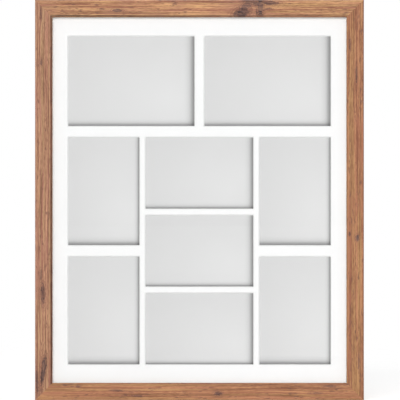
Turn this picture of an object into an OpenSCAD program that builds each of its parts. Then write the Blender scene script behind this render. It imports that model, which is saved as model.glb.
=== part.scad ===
// Collage frame for nine photographs. Four mitred wood sticks hold glass, a
// mat board with nine bevelled windows, a photo card behind each window and a
// backing board, which steel tabs keep in. Two D-ring hangers are screwed to
// the back. X runs right, Y into the wall and Z up, and the origin is the
// centre of the back plane, which lies against the wall. All sizes are in mm.

/* [Moulding] */
// Width of the whole frame
frame_w = 445; // [435:1:480]
// Height of the whole frame
frame_h = 542; // [530:1:580]
// Width of the moulding's face
moulding_w = 23.5; // [20:0.5:30]
// Depth from the front face to the back plane
moulding_d = 20; // [18:0.5:26]
// Thickness of the lip in front of the glass
lip_t = 5; // [3:0.5:6]
// How far the lip reaches in over the glass
rebate_w = 5.5; // [4.5:0.5:7]
// Rounding of the front edge beside the glass
sight_r = 1.8; // [0.5:0.1:2.5]
// Rounding of the outer front edge
outer_r = 0.8; // [0.3:0.1:1.5]

/* [Sheets] */
// Thickness of the glass
glass_t = 2; // [1.6:0.1:2.4]
// Thickness of the mat board
mat_t = 1.4; // [1.2:0.1:1.6]
// Thickness of a photo card
card_t = 0.3; // [0.2:0.1:0.4]
// Thickness of the backing board
board_t = 3; // [2.5:0.1:3.5]
// Air between neighbouring sheets
sheet_gap = 0.3; // [0.2:0.1:0.4]
// Play between the sheets and the rebate wall, on each side
sheet_play = 1.5; // [1:0.1:2]

/* [Windows] */
// Long side of a small window
small_long = 146; // [145:0.5:148]
// Short side of a small window
small_short = 96.5; // [96:0.5:98.5]
// Long side of a large window
large_long = 171; // [170:0.5:173]
// Short side of a large window
large_short = 121.5; // [120:0.5:123]
// Space between the three columns of small windows
column_gap = 8.25; // [7:0.25:12]
// Space between the rows
row_gap = 15.5; // [13:0.5:18]
// How far the windows as a block sit below the middle of the frame
block_drop = 0.45; // [0:0.05:3]

/* [Tabs] */
// Width of a tab that holds the backing board
tab_w = 8; // [6:0.5:12]
// Thickness of a tab
tab_t = 0.5; // [0.4:0.1:0.6]
// How far a tab reaches over the sheets from the rebate wall
tab_reach = 10; // [8:0.5:12]
// How deep a tab's shank sits in the wood
tab_root = 6; // [4:0.5:8]

/* [Hangers] */
// Height of the rings' hinge above the middle of the frame
hanger_z = 100; // [80:5:150]
// Width of the hanger's strap
strap_w = 9; // [8:0.5:9.5]
// Radius of the ring's wire
ring_r = 1.1; // [1:0.05:1.2]
// How far the ring leans away from the stile where it hangs at rest
ring_lean = 5; // [5:0.5:8]
// Length of the screw's shank below the stile's back
screw_l = 12; // [10:1:14]

/* [Hidden] */
$fn = 64;
LEFT = 0;
TOP = 90;
RIGHT = 180;
BOTTOM = 270;
// Length by which a cutting solid passes the face it cuts
cut = 1;

// Sheets, counted from the lip towards the wall
lip_back = lip_t - moulding_d;
glass_y = lip_back + sheet_gap;
mat_y = glass_y + glass_t + sheet_gap;
card_y = mat_y + mat_t + sheet_gap;
board_y = card_y + card_t + sheet_gap;
tab_y = board_y + board_t + sheet_gap;
// Distance from the outer face to the rebate wall
rebate_u = moulding_w - rebate_w;
sheet_w = frame_w - 2 * (rebate_u + sheet_play);
sheet_h = frame_h - 2 * (rebate_u + sheet_play);

// The sides of the windows' block are flush, so the gap between the large
// windows and the gaps in the middle column follow from the other sizes
small_print = [152.4, 101.6];
large_print = [177.8, 127];
block_w = 2 * small_short + small_long + 2 * column_gap;
block_h = large_short + 2 * small_long + 2 * row_gap;
block_top = block_h / 2 - block_drop;
middle_gap = (2 * small_long + row_gap - 3 * small_short) / 2;
large_x = (block_w - large_long) / 2;
side_x = (block_w - small_short) / 2;
large_z = block_top - large_short / 2;
small_top = block_top - large_short - row_gap;
upper_z = small_top - small_long / 2;
lower_z = upper_z - small_long - row_gap;
centre_z = small_top - small_short / 2;
centre_step = small_short + middle_gap;
// Each window is [x, z, width, height] of its opening at the mat's back
TOP_LEFT = [-large_x, large_z, large_long, large_short];
TOP_RIGHT = [large_x, large_z, large_long, large_short];
LEFT_UPPER = [-side_x, upper_z, small_short, small_long];
LEFT_LOWER = [-side_x, lower_z, small_short, small_long];
CENTRE_UPPER = [0, centre_z, small_long, small_short];
CENTRE_MIDDLE = [0, centre_z - centre_step, small_long, small_short];
CENTRE_LOWER = [0, centre_z - 2 * centre_step, small_long, small_short];
RIGHT_UPPER = [side_x, upper_z, small_short, small_long];
RIGHT_LOWER = [side_x, lower_z, small_short, small_long];
WINDOWS = [
    TOP_LEFT, TOP_RIGHT, LEFT_UPPER, LEFT_LOWER, CENTRE_UPPER,
    CENTRE_MIDDLE, CENTRE_LOWER, RIGHT_UPPER, RIGHT_LOWER
];

// Tabs: the bend line lies just inside the rebate wall
tab_bend = 0.6;
tab_stub = 0.3;
tab_tip_r = 1;
long_side_tabs = 4;
short_side_tabs = 3;
long_side_step = 120;
short_side_step = 125;

// V nails: distances of their corners from the frame's outer faces
v_nail_insets = [4.5, 11.5];
v_nail_leg = 6;
v_nail_t = 0.6;
v_nail_h = 10;
v_nail_sunk = 0.2;
v_nail_bead_r = 0.5;

// Hangers: a folded strap with a rolled eye, a ring and a screw
strap_sheet = 0.8;
strap_t = 2 * strap_sheet;
strap_l = 24;
eye_r = ring_r + 0.07;
eye_y = eye_r + strap_sheet;
ring_half = 7.4;
ring_corner_r = 2.2;
ring_arm = 5;
screw_r = 1.75;
screw_hole_r = 2;
screw_drop = 20.5;
screw_tip = 3;
screw_point_r = 0.2;
screw_head_r = 3.4;
screw_head_h = 2;
screw_dome_r = 6;
recess_w = 0.9;
recess_l = 3.8;
recess_d = 1.1;

function is_stile(side) = side == LEFT || side == RIGHT;
function reach(side) = (is_stile(side) ? frame_w : frame_h) / 2;
function stick_l(side) = is_stile(side) ? frame_h : frame_w;
function tab_count(side) = is_stile(side) ? long_side_tabs : short_side_tabs;
function tab_step(side) = is_stile(side) ? long_side_step : short_side_step;

// Place of a tab along its stick, counted from the top or from the left
function tab_place(side, number) =
    (side == LEFT || side == BOTTOM ? -1 : 1)
    * (number - (tab_count(side) + 1) / 2) * tab_step(side);

// Size of the print behind a window, [width, height]
function print_size(window) =
    window[2] == large_long ? large_print
    : window[2] > window[3] ? small_print
    : [small_print[1], small_print[0]];

// Puts a shape on one side of the frame: x then runs from the outer face
// inwards, y into the wall and z along the stick
module on_side(side) {
    rotate([0, side, 0])
        translate([-reach(side), 0, 0])
            children();
}

// The waste of a rounded outer corner at the origin
module corner_waste(r) {
    difference() {
        translate([-cut, -cut]) square(r + cut);
        translate([r, r]) circle(r);
    }
}

// Section of the moulding, with the outer face at x = 0 and the back at y = 0
module moulding_profile() {
    difference() {
        translate([0, -moulding_d]) square([moulding_w, moulding_d]);
        translate([rebate_u, lip_back]) square([rebate_w + cut, cut - lip_back]);
        translate([0, -moulding_d]) corner_waste(outer_r);
        translate([moulding_w, -moulding_d]) mirror([1, 0]) corner_waste(sight_r);
    }
}

// Everything between the two mitre planes of a stick
module mitre_space(side) {
    half = stick_l(side) / 2;
    inner = moulding_w + cut;
    translate([0, cut, 0])
        rotate([90, 0, 0])
            linear_extrude(moulding_d + 2 * cut)
                polygon([
                    [-cut, -half - cut], [inner, inner - half],
                    [inner, half - inner], [-cut, half + cut]
                ]);
}

// One V nail with its corner at the origin, its legs running towards the
// middle of the frame, and a bead along each leg's end
module v_nail(right, up, top_y) {
    bottom_y = -v_nail_sunk - v_nail_h;
    height = top_y - bottom_y;
    translate([0, (top_y + bottom_y) / 2, 0]) {
        translate([-right * v_nail_leg / 2, 0, -up * v_nail_t / 2])
            cube([v_nail_leg, height, v_nail_t], center = true);
        translate([-right * v_nail_t / 2, 0, -up * v_nail_leg / 2])
            cube([v_nail_t, height, v_nail_leg], center = true);
        for (end = [[v_nail_leg, v_nail_t / 2], [v_nail_t / 2, v_nail_leg]])
            translate([-right * end[0], 0, -up * end[1]])
                rotate([90, 0, 0])
                    cylinder(h = height, r = v_nail_bead_r, center = true);
    }
}

// Both nails of one corner, where right and up are 1 or -1. Taken up past the
// back plane they are the slots in the wood.
module v_nail_pair(right, up, top_y) {
    for (inset = v_nail_insets)
        translate([right * (frame_w / 2 - inset), 0, up * (frame_h / 2 - inset)])
            v_nail(right, up, top_y);
}

module v_nails(right, up) {
    color("silver") v_nail_pair(right, up, -v_nail_sunk);
}

module tab_shanks(side) {
    color("lightsteelblue")
        for (number = [1 : tab_count(side)])
            on_side(side)
                translate([rebate_u - tab_root, tab_y, tab_place(side, number) - tab_w / 2])
                    cube([tab_root + tab_stub, tab_t, tab_w]);
}

// The part of a tab that lies over the backing board. Its root is round about
// the bend line and its tip has round corners.
module tab_blade(side, number) {
    blade_l = tab_reach - tab_bend;
    color("lightsteelblue")
        on_side(side)
            translate([rebate_u + tab_bend, tab_y + tab_t / 2, tab_place(side, number)]) {
                cylinder(h = tab_w, r = tab_t / 2, center = true);
                translate([0, tab_t / 2, 0])
                    rotate([90, 0, 0])
                        linear_extrude(tab_t)
                            tab_outline(blade_l);
            }
}

module tab_outline(length) {
    translate([0, -tab_w / 2]) square([length - tab_tip_r, tab_w]);
    translate([0, tab_tip_r - tab_w / 2]) square([length, tab_w - 2 * tab_tip_r]);
    for (edge = [-1, 1])
        translate([length - tab_tip_r, edge * (tab_w / 2 - tab_tip_r)])
            circle(tab_tip_r);
}

module at_hanger(right) {
    translate([right * (frame_w / 2 - rebate_u / 2), 0, hanger_z]) children();
}

module at_screw(right) {
    at_hanger(right) translate([0, 0, -screw_drop]) rotate([-90, 0, 0]) children();
}

// The screw below its head, also the hole that it cuts in the stile
module screw_shank() {
    translate([0, 0, screw_tip - screw_l])
        cylinder(h = screw_l - screw_tip + strap_t, r = screw_r);
    translate([0, 0, -screw_l]) cylinder(h = screw_tip, r1 = screw_point_r, r2 = screw_r);
}

module stick(side, shade) {
    color(shade)
        difference() {
            on_side(side)
                intersection() {
                    linear_extrude(stick_l(side), center = true) moulding_profile();
                    mitre_space(side);
                }
            for (right = [-1, 1], up = [-1, 1])
                v_nail_pair(right, up, cut);
            tab_shanks(side);
            if (is_stile(side))
                at_screw(side == LEFT ? -1 : 1) screw_shank();
        }
}

module rail_top() {
    stick(TOP, [0.80, 0.61, 0.45]);
}

module rail_bottom() {
    stick(BOTTOM, [0.70, 0.50, 0.35]);
}

module stile_left() {
    stick(LEFT, [0.71, 0.54, 0.44]);
}

module stile_right() {
    stick(RIGHT, [0.70, 0.50, 0.35]);
}

module sheet(y, thickness) {
    translate([-sheet_w / 2, y, -sheet_h / 2]) cube([sheet_w, thickness, sheet_h]);
}

module glazing() {
    color([0.85, 0.93, 0.92, 0.4]) sheet(glass_y, glass_t);
}

// A trapezium whose sloping sides run at 45 degrees from the mat's back
// opening out to its front
module bevel_outline(opening) {
    back = opening / 2 - cut;
    front = opening / 2 + mat_t + cut;
    polygon([
        [-front, mat_y - cut], [front, mat_y - cut],
        [back, mat_y + mat_t + cut], [-back, mat_y + mat_t + cut]
    ]);
}

// The space of one window: both pairs of its sides slope at 45 degrees
module window_space(window) {
    height = window[3] + 2 * (mat_t + cut);
    width = window[2] + 2 * (mat_t + cut);
    translate([window[0], 0, window[1]])
        intersection() {
            linear_extrude(height, center = true) bevel_outline(window[2]);
            rotate([0, 90, 0]) linear_extrude(width, center = true) bevel_outline(window[3]);
        }
}

module mat_board() {
    color("white")
        difference() {
            sheet(mat_y, mat_t);
            for (window = WINDOWS)
                window_space(window);
        }
}

module photo_card(window) {
    size = print_size(window);
    color([0.88, 0.88, 0.88])
        translate([window[0] - size[0] / 2, card_y, window[1] - size[1] / 2])
            cube([size[0], card_t, size[1]]);
}

module backing_board() {
    color([0.62, 0.47, 0.33]) sheet(board_y, board_t);
}

// A sheet folded double on the stile, with the fold rolled into an eye
module hanger_strap(right) {
    color("silver")
        at_hanger(right)
            difference() {
                union() {
                    translate([-strap_w / 2, 0, -strap_l]) cube([strap_w, strap_t, strap_l]);
                    translate([0, 0, -strap_l])
                        rotate([-90, 0, 0])
                            cylinder(h = strap_t, r = strap_w / 2);
                    translate([0, eye_y, 0])
                        rotate([0, 90, 0])
                            cylinder(h = strap_w, r = eye_y, center = true);
                }
                translate([0, eye_y, 0])
                    rotate([0, 90, 0])
                        cylinder(h = strap_w + cut, r = eye_r, center = true);
                translate([0, -cut, -screw_drop])
                    rotate([-90, 0, 0])
                        cylinder(h = strap_t + 2 * cut, r = screw_hole_r);
            }
}

// An arc of the ring's wire about the origin, from one angle on
module wire_arc(radius, from, sweep) {
    rotate([90, 0, 0])
        rotate([0, 0, from])
            rotate_extrude(angle = sweep)
                translate([radius, 0])
                    circle(ring_r);
}

// The D of wire, hanging down from the bar that its hinge axis runs along
module ring_wire() {
    bar_l = 2 * (ring_half - ring_corner_r);
    rotate([0, 90, 0]) cylinder(h = bar_l, r = ring_r, center = true);
    for (right = [-1, 1]) {
        translate([right * bar_l / 2, 0, -ring_corner_r])
            wire_arc(ring_corner_r, right > 0 ? 0 : 90, 90);
        translate([right * ring_half, 0, -ring_arm])
            cylinder(h = ring_arm - ring_corner_r, r = ring_r);
    }
    translate([0, 0, -ring_arm]) wire_arc(ring_half, 180, 180);
}

module hanger_ring(right) {
    color("gainsboro")
        at_hanger(right)
            translate([0, eye_y, 0])
                rotate([ring_lean, 0, 0])
                    ring_wire();
}

// A pan head with a cross recess on a pointed shank
module hanger_screw(right) {
    color("gainsboro")
        at_screw(right)
            difference() {
                union() {
                    screw_shank();
                    translate([0, 0, strap_t])
                        intersection() {
                            cylinder(h = screw_head_h, r = screw_head_r);
                            translate([0, 0, screw_head_h - screw_dome_r]) sphere(screw_dome_r);
                        }
                }
                for (turn = [0, 90])
                    rotate([0, 0, turn])
                        translate([-recess_l / 2, -recess_w / 2, strap_t + screw_head_h - recess_d])
                            cube([recess_l, recess_w, recess_d + cut]);
            }
}

rail_top();
rail_bottom();
stile_left();
stile_right();
v_nails(-1, 1);  // v_nails_top_left
v_nails(1, 1);  // v_nails_top_right
v_nails(-1, -1);  // v_nails_bottom_left
v_nails(1, -1);  // v_nails_bottom_right
glazing();
mat_board();
photo_card(TOP_LEFT);  // photo_card_top_left
photo_card(TOP_RIGHT);  // photo_card_top_right
photo_card(LEFT_UPPER);  // photo_card_left_upper
photo_card(LEFT_LOWER);  // photo_card_left_lower
photo_card(CENTRE_UPPER);  // photo_card_centre_upper
photo_card(CENTRE_MIDDLE);  // photo_card_centre_middle
photo_card(CENTRE_LOWER);  // photo_card_centre_lower
photo_card(RIGHT_UPPER);  // photo_card_right_upper
photo_card(RIGHT_LOWER);  // photo_card_right_lower
backing_board();
tab_blade(LEFT, 1);  // tab_left_1
tab_blade(LEFT, 2);  // tab_left_2
tab_blade(LEFT, 3);  // tab_left_3
tab_blade(LEFT, 4);  // tab_left_4
tab_blade(RIGHT, 1);  // tab_right_1
tab_blade(RIGHT, 2);  // tab_right_2
tab_blade(RIGHT, 3);  // tab_right_3
tab_blade(RIGHT, 4);  // tab_right_4
tab_blade(TOP, 1);  // tab_top_1
tab_blade(TOP, 2);  // tab_top_2
tab_blade(TOP, 3);  // tab_top_3
tab_blade(BOTTOM, 1);  // tab_bottom_1
tab_blade(BOTTOM, 2);  // tab_bottom_2
tab_blade(BOTTOM, 3);  // tab_bottom_3
tab_shanks(LEFT);  // tab_shanks_left
tab_shanks(RIGHT);  // tab_shanks_right
tab_shanks(TOP);  // tab_shanks_top
tab_shanks(BOTTOM);  // tab_shanks_bottom
hanger_strap(-1);  // hanger_strap_left
hanger_strap(1);  // hanger_strap_right
hanger_ring(-1);  // hanger_ring_left
hanger_ring(1);  // hanger_ring_right
hanger_screw(-1);  // hanger_screw_left
hanger_screw(1);  // hanger_screw_right
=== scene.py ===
"""Collage photo frame: a stained wood frame, glass, a mat with nine windows and its backing.

The front looks along -Y, the back plane lies at Y 0 and Z points up. Each sub-assembly is a
class that holds its sizes, builds its pieces and dresses them. All sizes are in metres.
"""

import logging
import math
from collections.abc import Callable, Iterable, Sequence
from dataclasses import dataclass, field
from enum import Enum

import bmesh
import bpy
from bmesh.types import BMEdge, BMesh, BMFace, BMVert
from bpy.types import Material, Node, NodeSocket, NodeTree, Object, ShaderNodeTree
from mathutils import Matrix, Vector, noise

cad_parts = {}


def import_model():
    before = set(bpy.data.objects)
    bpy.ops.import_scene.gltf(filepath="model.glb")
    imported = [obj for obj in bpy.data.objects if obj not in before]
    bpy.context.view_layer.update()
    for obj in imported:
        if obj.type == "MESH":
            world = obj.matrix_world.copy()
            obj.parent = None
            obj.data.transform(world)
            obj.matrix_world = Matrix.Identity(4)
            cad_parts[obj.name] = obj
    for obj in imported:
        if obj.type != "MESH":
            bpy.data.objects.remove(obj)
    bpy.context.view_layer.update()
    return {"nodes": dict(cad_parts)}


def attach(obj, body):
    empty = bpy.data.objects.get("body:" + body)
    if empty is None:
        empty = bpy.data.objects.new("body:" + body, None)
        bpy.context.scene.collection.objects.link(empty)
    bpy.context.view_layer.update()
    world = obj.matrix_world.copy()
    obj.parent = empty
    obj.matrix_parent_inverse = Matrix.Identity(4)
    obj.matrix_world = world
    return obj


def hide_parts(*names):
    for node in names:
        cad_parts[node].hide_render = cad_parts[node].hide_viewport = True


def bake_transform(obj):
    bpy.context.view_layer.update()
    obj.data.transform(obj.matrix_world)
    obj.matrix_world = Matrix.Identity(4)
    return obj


MM = 0.001
TINY = 1e-6  # points nearer than this, in metres, count as one
CUT_REACH = 1e-7  # a cut this near to a point, in metres, goes through it
LOG = logging.getLogger("collage_frame")

Colour = tuple[float, float, float, float]
Source = NodeSocket | float | Sequence[float]


def tone(red: int, green: int, blue: int) -> Colour:
    """Turns a colour as a screen shows it into the linear colour of a shader.

    Args:
        red: Red, from 0 to 255.
        green: Green, from 0 to 255.
        blue: Blue, from 0 to 255.

    Returns:
        The linear colour, with an alpha of 1.
    """

    def linear(step: int) -> float:
        """One channel by the sRGB curve."""
        share = step / 255
        return share / 12.92 if share <= 0.04045 else ((share + 0.055) / 1.055) ** 2.4

    return linear(red), linear(green), linear(blue), 1.0


class Board:
    """Lays out and joins the nodes of one tree."""

    pitch = (180, -220)
    columns = 12
    colour_inputs = (0, 6, 7)
    colour_output = 2

    def __init__(self, tree: NodeTree) -> None:
        """Takes over a node tree."""
        self.tree = tree

    def add(self, kind: str, **properties: object) -> Node:
        """Adds a node.

        Args:
            kind: Blender's name for the type of node.
            **properties: The node's own settings.

        Returns:
            The new node.
        """
        node = self.tree.nodes.new(kind)
        row, column = divmod(len(self.tree.nodes), self.columns)
        node.location = (self.pitch[0] * column, self.pitch[1] * row)
        for name, value in properties.items():
            setattr(node, name, value)
        return node

    def here(self) -> NodeSocket:
        """Reads the place on the piece, in metres."""
        return self.add("ShaderNodeTexCoord").outputs["Object"]

    def feed(self, socket: NodeSocket, source: Source) -> None:
        """Joins a socket to an output, or writes a plain value in it.

        Args:
            socket: The input that is fed.
            source: An output socket, a number or a few numbers.
        """
        if isinstance(source, NodeSocket):
            self.tree.links.new(source, socket)
        else:
            socket.default_value = source

    def maths(self, operation: str, *sources: Source) -> NodeSocket:
        """Adds a Math node.

        Args:
            operation: Its operation, such as "ADD".
            *sources: What its inputs take.

        Returns:
            Its output.
        """
        node = self.add("ShaderNodeMath", operation=operation)
        for socket, source in zip(node.inputs, sources):
            self.feed(socket, source)
        return node.outputs[0]

    def vectors(self, operation: str, *sources: Source) -> Node:
        """Adds a Vector Math node.

        Args:
            operation: Its operation, such as "MULTIPLY".
            *sources: What its inputs take.

        Returns:
            The node, as some operations put out a number and others a vector.
        """
        node = self.add("ShaderNodeVectorMath", operation=operation)
        for socket, source in zip(node.inputs, sources):
            self.feed(socket, source)
        return node

    def parts(self, vector: Source) -> list[NodeSocket]:
        """Splits a vector.

        Args:
            vector: The vector.

        Returns:
            Its three parts.
        """
        node = self.add("ShaderNodeSeparateXYZ")
        self.feed(node.inputs[0], vector)
        return list(node.outputs)

    def noise(
        self, place: Source, grain: Sequence[float], detail: float = 2.0, rough: float = 0.55
    ) -> NodeSocket:
        """Adds noise whose grains have a real size.

        Args:
            place: Where on the piece, in metres.
            grain: The size of a grain along each axis, in metres.
            detail: How many finer layers it has.
            rough: How strong the finer layers are.

        Returns:
            The noise, from 0 to 1 about 0.5.
        """
        scaled = self.vectors("MULTIPLY", place, [1 / size for size in grain])
        node = self.add("ShaderNodeTexNoise")
        self.feed(node.inputs["Vector"], scaled.outputs["Vector"])
        node.inputs["Scale"].default_value = 1.0
        node.inputs["Detail"].default_value = detail
        node.inputs["Roughness"].default_value = rough
        return node.outputs["Fac"]

    def step(self, value: Source, low: Source, high: Source) -> NodeSocket:
        """Rises softly from 0 to 1.

        Args:
            value: What is looked at.
            low: Where the rise starts.
            high: Where it ends. A high below low makes a fall.

        Returns:
            The share, from 0 to 1.
        """
        node = self.add("ShaderNodeMapRange", interpolation_type="SMOOTHSTEP")
        for name, source in (("Value", value), ("From Min", low), ("From Max", high)):
            self.feed(node.inputs[name], source)
        return node.outputs["Result"]

    def spread(self, value: Source, low: float, high: float, first: float, last: float) -> NodeSocket:
        """Maps a range in a straight line, held at its ends.

        Args:
            value: What is mapped.
            low: The value that gives first.
            high: The value that gives last.
            first: The result at low.
            last: The result at high.

        Returns:
            The mapped value.
        """
        node = self.add("ShaderNodeMapRange")
        numbers = (value, low, high, first, last)
        for name, source in zip(("Value", "From Min", "From Max", "To Min", "To Max"), numbers):
            self.feed(node.inputs[name], source)
        return node.outputs["Result"]

    def mix(self, share: Source, first: Source, second: Source, how: str = "MIX") -> NodeSocket:
        """Mixes two colours.

        Args:
            share: How much of the second is taken.
            first: The first colour.
            second: The second colour.
            how: The way they are mixed.

        Returns:
            The mixed colour.
        """
        node = self.add("ShaderNodeMix", data_type="RGBA", blend_type=how)
        for index, source in zip(self.colour_inputs, (share, first, second)):
            self.feed(node.inputs[index], source)
        return node.outputs[self.colour_output]

    def ramp(self, value: Source, stops: Sequence[tuple[float, Colour]]) -> NodeSocket:
        """Colours a value by a few stops.

        Args:
            value: What is coloured.
            stops: Pairs of a place from 0 to 1 and the colour there.

        Returns:
            The colour.
        """
        node = self.add("ShaderNodeValToRGB")
        band = node.color_ramp
        while len(band.elements) < len(stops):
            band.elements.new(0.5)
        for element, (place, colour) in zip(band.elements, stops):
            element.position = place
            element.color = colour
        self.feed(node.inputs[0], value)
        return node.outputs["Color"]

    def bump(self, height: NodeSocket, depth: float, strength: float = 1.0) -> NodeSocket:
        """Turns a height into a normal.

        Args:
            height: The height, from 0 to 1.
            depth: How high 1 is, in metres.
            strength: How much of the relief is kept.

        Returns:
            The normal.
        """
        node = self.add("ShaderNodeBump")
        node.inputs["Strength"].default_value = strength
        node.inputs["Distance"].default_value = depth
        self.feed(node.inputs["Height"], height)
        return node.outputs["Normal"]

    def dress(
        self, shader: Node, colour: Source, rough: Source, normal: Source, specular: float = 0.5
    ) -> None:
        """Joins a shader to what changes over its surface.

        Args:
            shader: The shader.
            colour: Its colour.
            rough: Its roughness.
            normal: Its normal.
            specular: The strength of its reflections.
        """
        for name, source in (("Base Color", colour), ("Roughness", rough), ("Normal", normal)):
            self.feed(shader.inputs[name], source)
        shader.inputs["Specular IOR Level"].default_value = specular

    def clear_where(self, share: Source, shader: Node) -> None:
        """Lets light straight through a material, as far as a share says.

        Args:
            share: How much goes through, from 0 to 1.
            shader: The material's own shader.
        """
        clear = self.add("ShaderNodeBsdfTransparent")
        either = self.add("ShaderNodeMixShader")
        for socket, source in zip(either.inputs, (share, shader.outputs[0], clear.outputs[0])):
            self.feed(socket, source)
        self.feed(self.tree.nodes["Material Output"].inputs["Surface"], either.outputs[0])

    def place(self, effect: "type[Effect]", **sources: Source) -> Node:
        """Places a shared effect.

        Args:
            effect: The effect.
            **sources: What its inputs take, by name, with _ for a space.

        Returns:
            The group node.
        """
        node = self.add("ShaderNodeGroup")
        node.node_tree = effect.group()
        for name, source in sources.items():
            self.feed(node.inputs[name.replace("_", " ").title()], source)
        return node


class Effect:
    """An effect that several finishes share, kept as one node group."""

    name: str = ""
    takes: dict[str, str] = {}
    gives: dict[str, str] = {}

    @classmethod
    def group(cls) -> ShaderNodeTree:
        """Builds the group once.

        Returns:
            The node group.
        """
        if cls.name in bpy.data.node_groups:
            return bpy.data.node_groups[cls.name]
        tree = bpy.data.node_groups.new(cls.name, "ShaderNodeTree")
        for label, kind in cls.takes.items():
            tree.interface.new_socket(label, in_out="INPUT", socket_type=kind)
        for label, kind in cls.gives.items():
            tree.interface.new_socket(label, in_out="OUTPUT", socket_type=kind)
        board = Board(tree)
        given = board.add("NodeGroupInput").outputs
        result = board.add("NodeGroupOutput").inputs
        for label, source in cls.wire(board, given).items():
            board.feed(result[label], source)
        return tree

    @classmethod
    def wire(cls, board: Board, given: bpy.types.NodeOutputs) -> dict[str, NodeSocket]:
        """Lays out the effect's nodes on a board, and gives the socket for each output."""
        raise NotImplementedError


@dataclass(frozen=True)
class Layer:
    """One layer of noise, by the size of its grains along each axis and its weight in a sum."""

    across: float
    deep: float
    along: float
    detail: float = 2.0
    rough: float = 0.5
    weight: float = 1.0

    def lay(self, board: Board, place: Source) -> NodeSocket:
        """Adds the layer's noise to a tree."""
        return board.noise(place, (self.across, self.deep, self.along), self.detail, self.rough)


class WoodGrain(Effect):
    """Softwood sawn with the grain along a stick. Place is across, deep and along."""

    name = "wood grain"
    takes = {"Place": "NodeSocketVector", "Seed": "NodeSocketVector"}
    gives = {
        "Streak": "NodeSocketFloat",
        "Band": "NodeSocketFloat",
        "Drift": "NodeSocketFloat",
        "Dash": "NodeSocketFloat",
        "Hue": "NodeSocketFloat",
        "Height": "NodeSocketFloat",
    }
    sway = Layer(30 * MM, 30 * MM, 140 * MM, detail=1.0, rough=0.55)
    sway_reach = 5 * MM
    long_streaks = Layer(1.25 * MM, 1.25 * MM, 190 * MM, weight=1.1)
    short_streaks = Layer(1.1 * MM, 1.1 * MM, 32 * MM, weight=0.6)
    flecks = Layer(0.9 * MM, 0.9 * MM, 7 * MM, detail=1.0, weight=0.4)
    fine_lines = Layer(0.5 * MM, 0.5 * MM, 10 * MM, rough=0.6, weight=0.3)
    pores = Layer(0.18 * MM, 0.18 * MM, 4 * MM, detail=1.0, weight=0.2)
    balance = -0.8
    bands = Layer(5 * MM, 5 * MM, 170 * MM)
    drifts = Layer(26 * MM, 26 * MM, 60 * MM)
    hues = Layer(1.7 * MM, 1.7 * MM, 240 * MM, detail=1.0)
    spots = Layer(1.5 * MM, 1.5 * MM, 8 * MM)
    crowds = Layer(6 * MM, 6 * MM, 30 * MM, detail=1.0, rough=0.4)
    spot_rise = (0.55, 0.65)
    crowd_rise = (0.48, 0.6)
    dash_depth = -0.5

    @classmethod
    def wire(cls, board: Board, given: bpy.types.NodeOutputs) -> dict[str, NodeSocket]:
        """Lays out streaks, broad bands, slow drift and short dark dashes.

        Args:
            board: The group's tree.
            given: The group's inputs.

        Returns:
            The socket for each output.
        """
        moved = board.vectors("ADD", given["Place"], given["Seed"]).outputs["Vector"]
        swayed = board.maths("SUBTRACT", cls.sway.lay(board, moved), 0.5)
        side = board.add("ShaderNodeCombineXYZ")
        board.feed(side.inputs["X"], board.maths("MULTIPLY", swayed, cls.sway_reach))
        place = board.vectors("ADD", moved, side.outputs[0]).outputs["Vector"]
        lines: Source = cls.balance
        for layer in (cls.long_streaks, cls.short_streaks, cls.flecks, cls.fine_lines, cls.pores):
            lines = board.maths("MULTIPLY_ADD", layer.lay(board, place), layer.weight, lines)
        spot = board.step(cls.spots.lay(board, place), *cls.spot_rise)
        crowd = board.step(cls.crowds.lay(board, place), *cls.crowd_rise)
        dash = board.maths("MULTIPLY", spot, crowd)
        return {
            "Streak": lines,
            "Band": cls.bands.lay(board, place),
            "Drift": cls.drifts.lay(board, place),
            "Dash": dash,
            "Hue": cls.hues.lay(board, place),
            "Height": board.maths("MULTIPLY_ADD", dash, cls.dash_depth, lines),
        }


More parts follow.
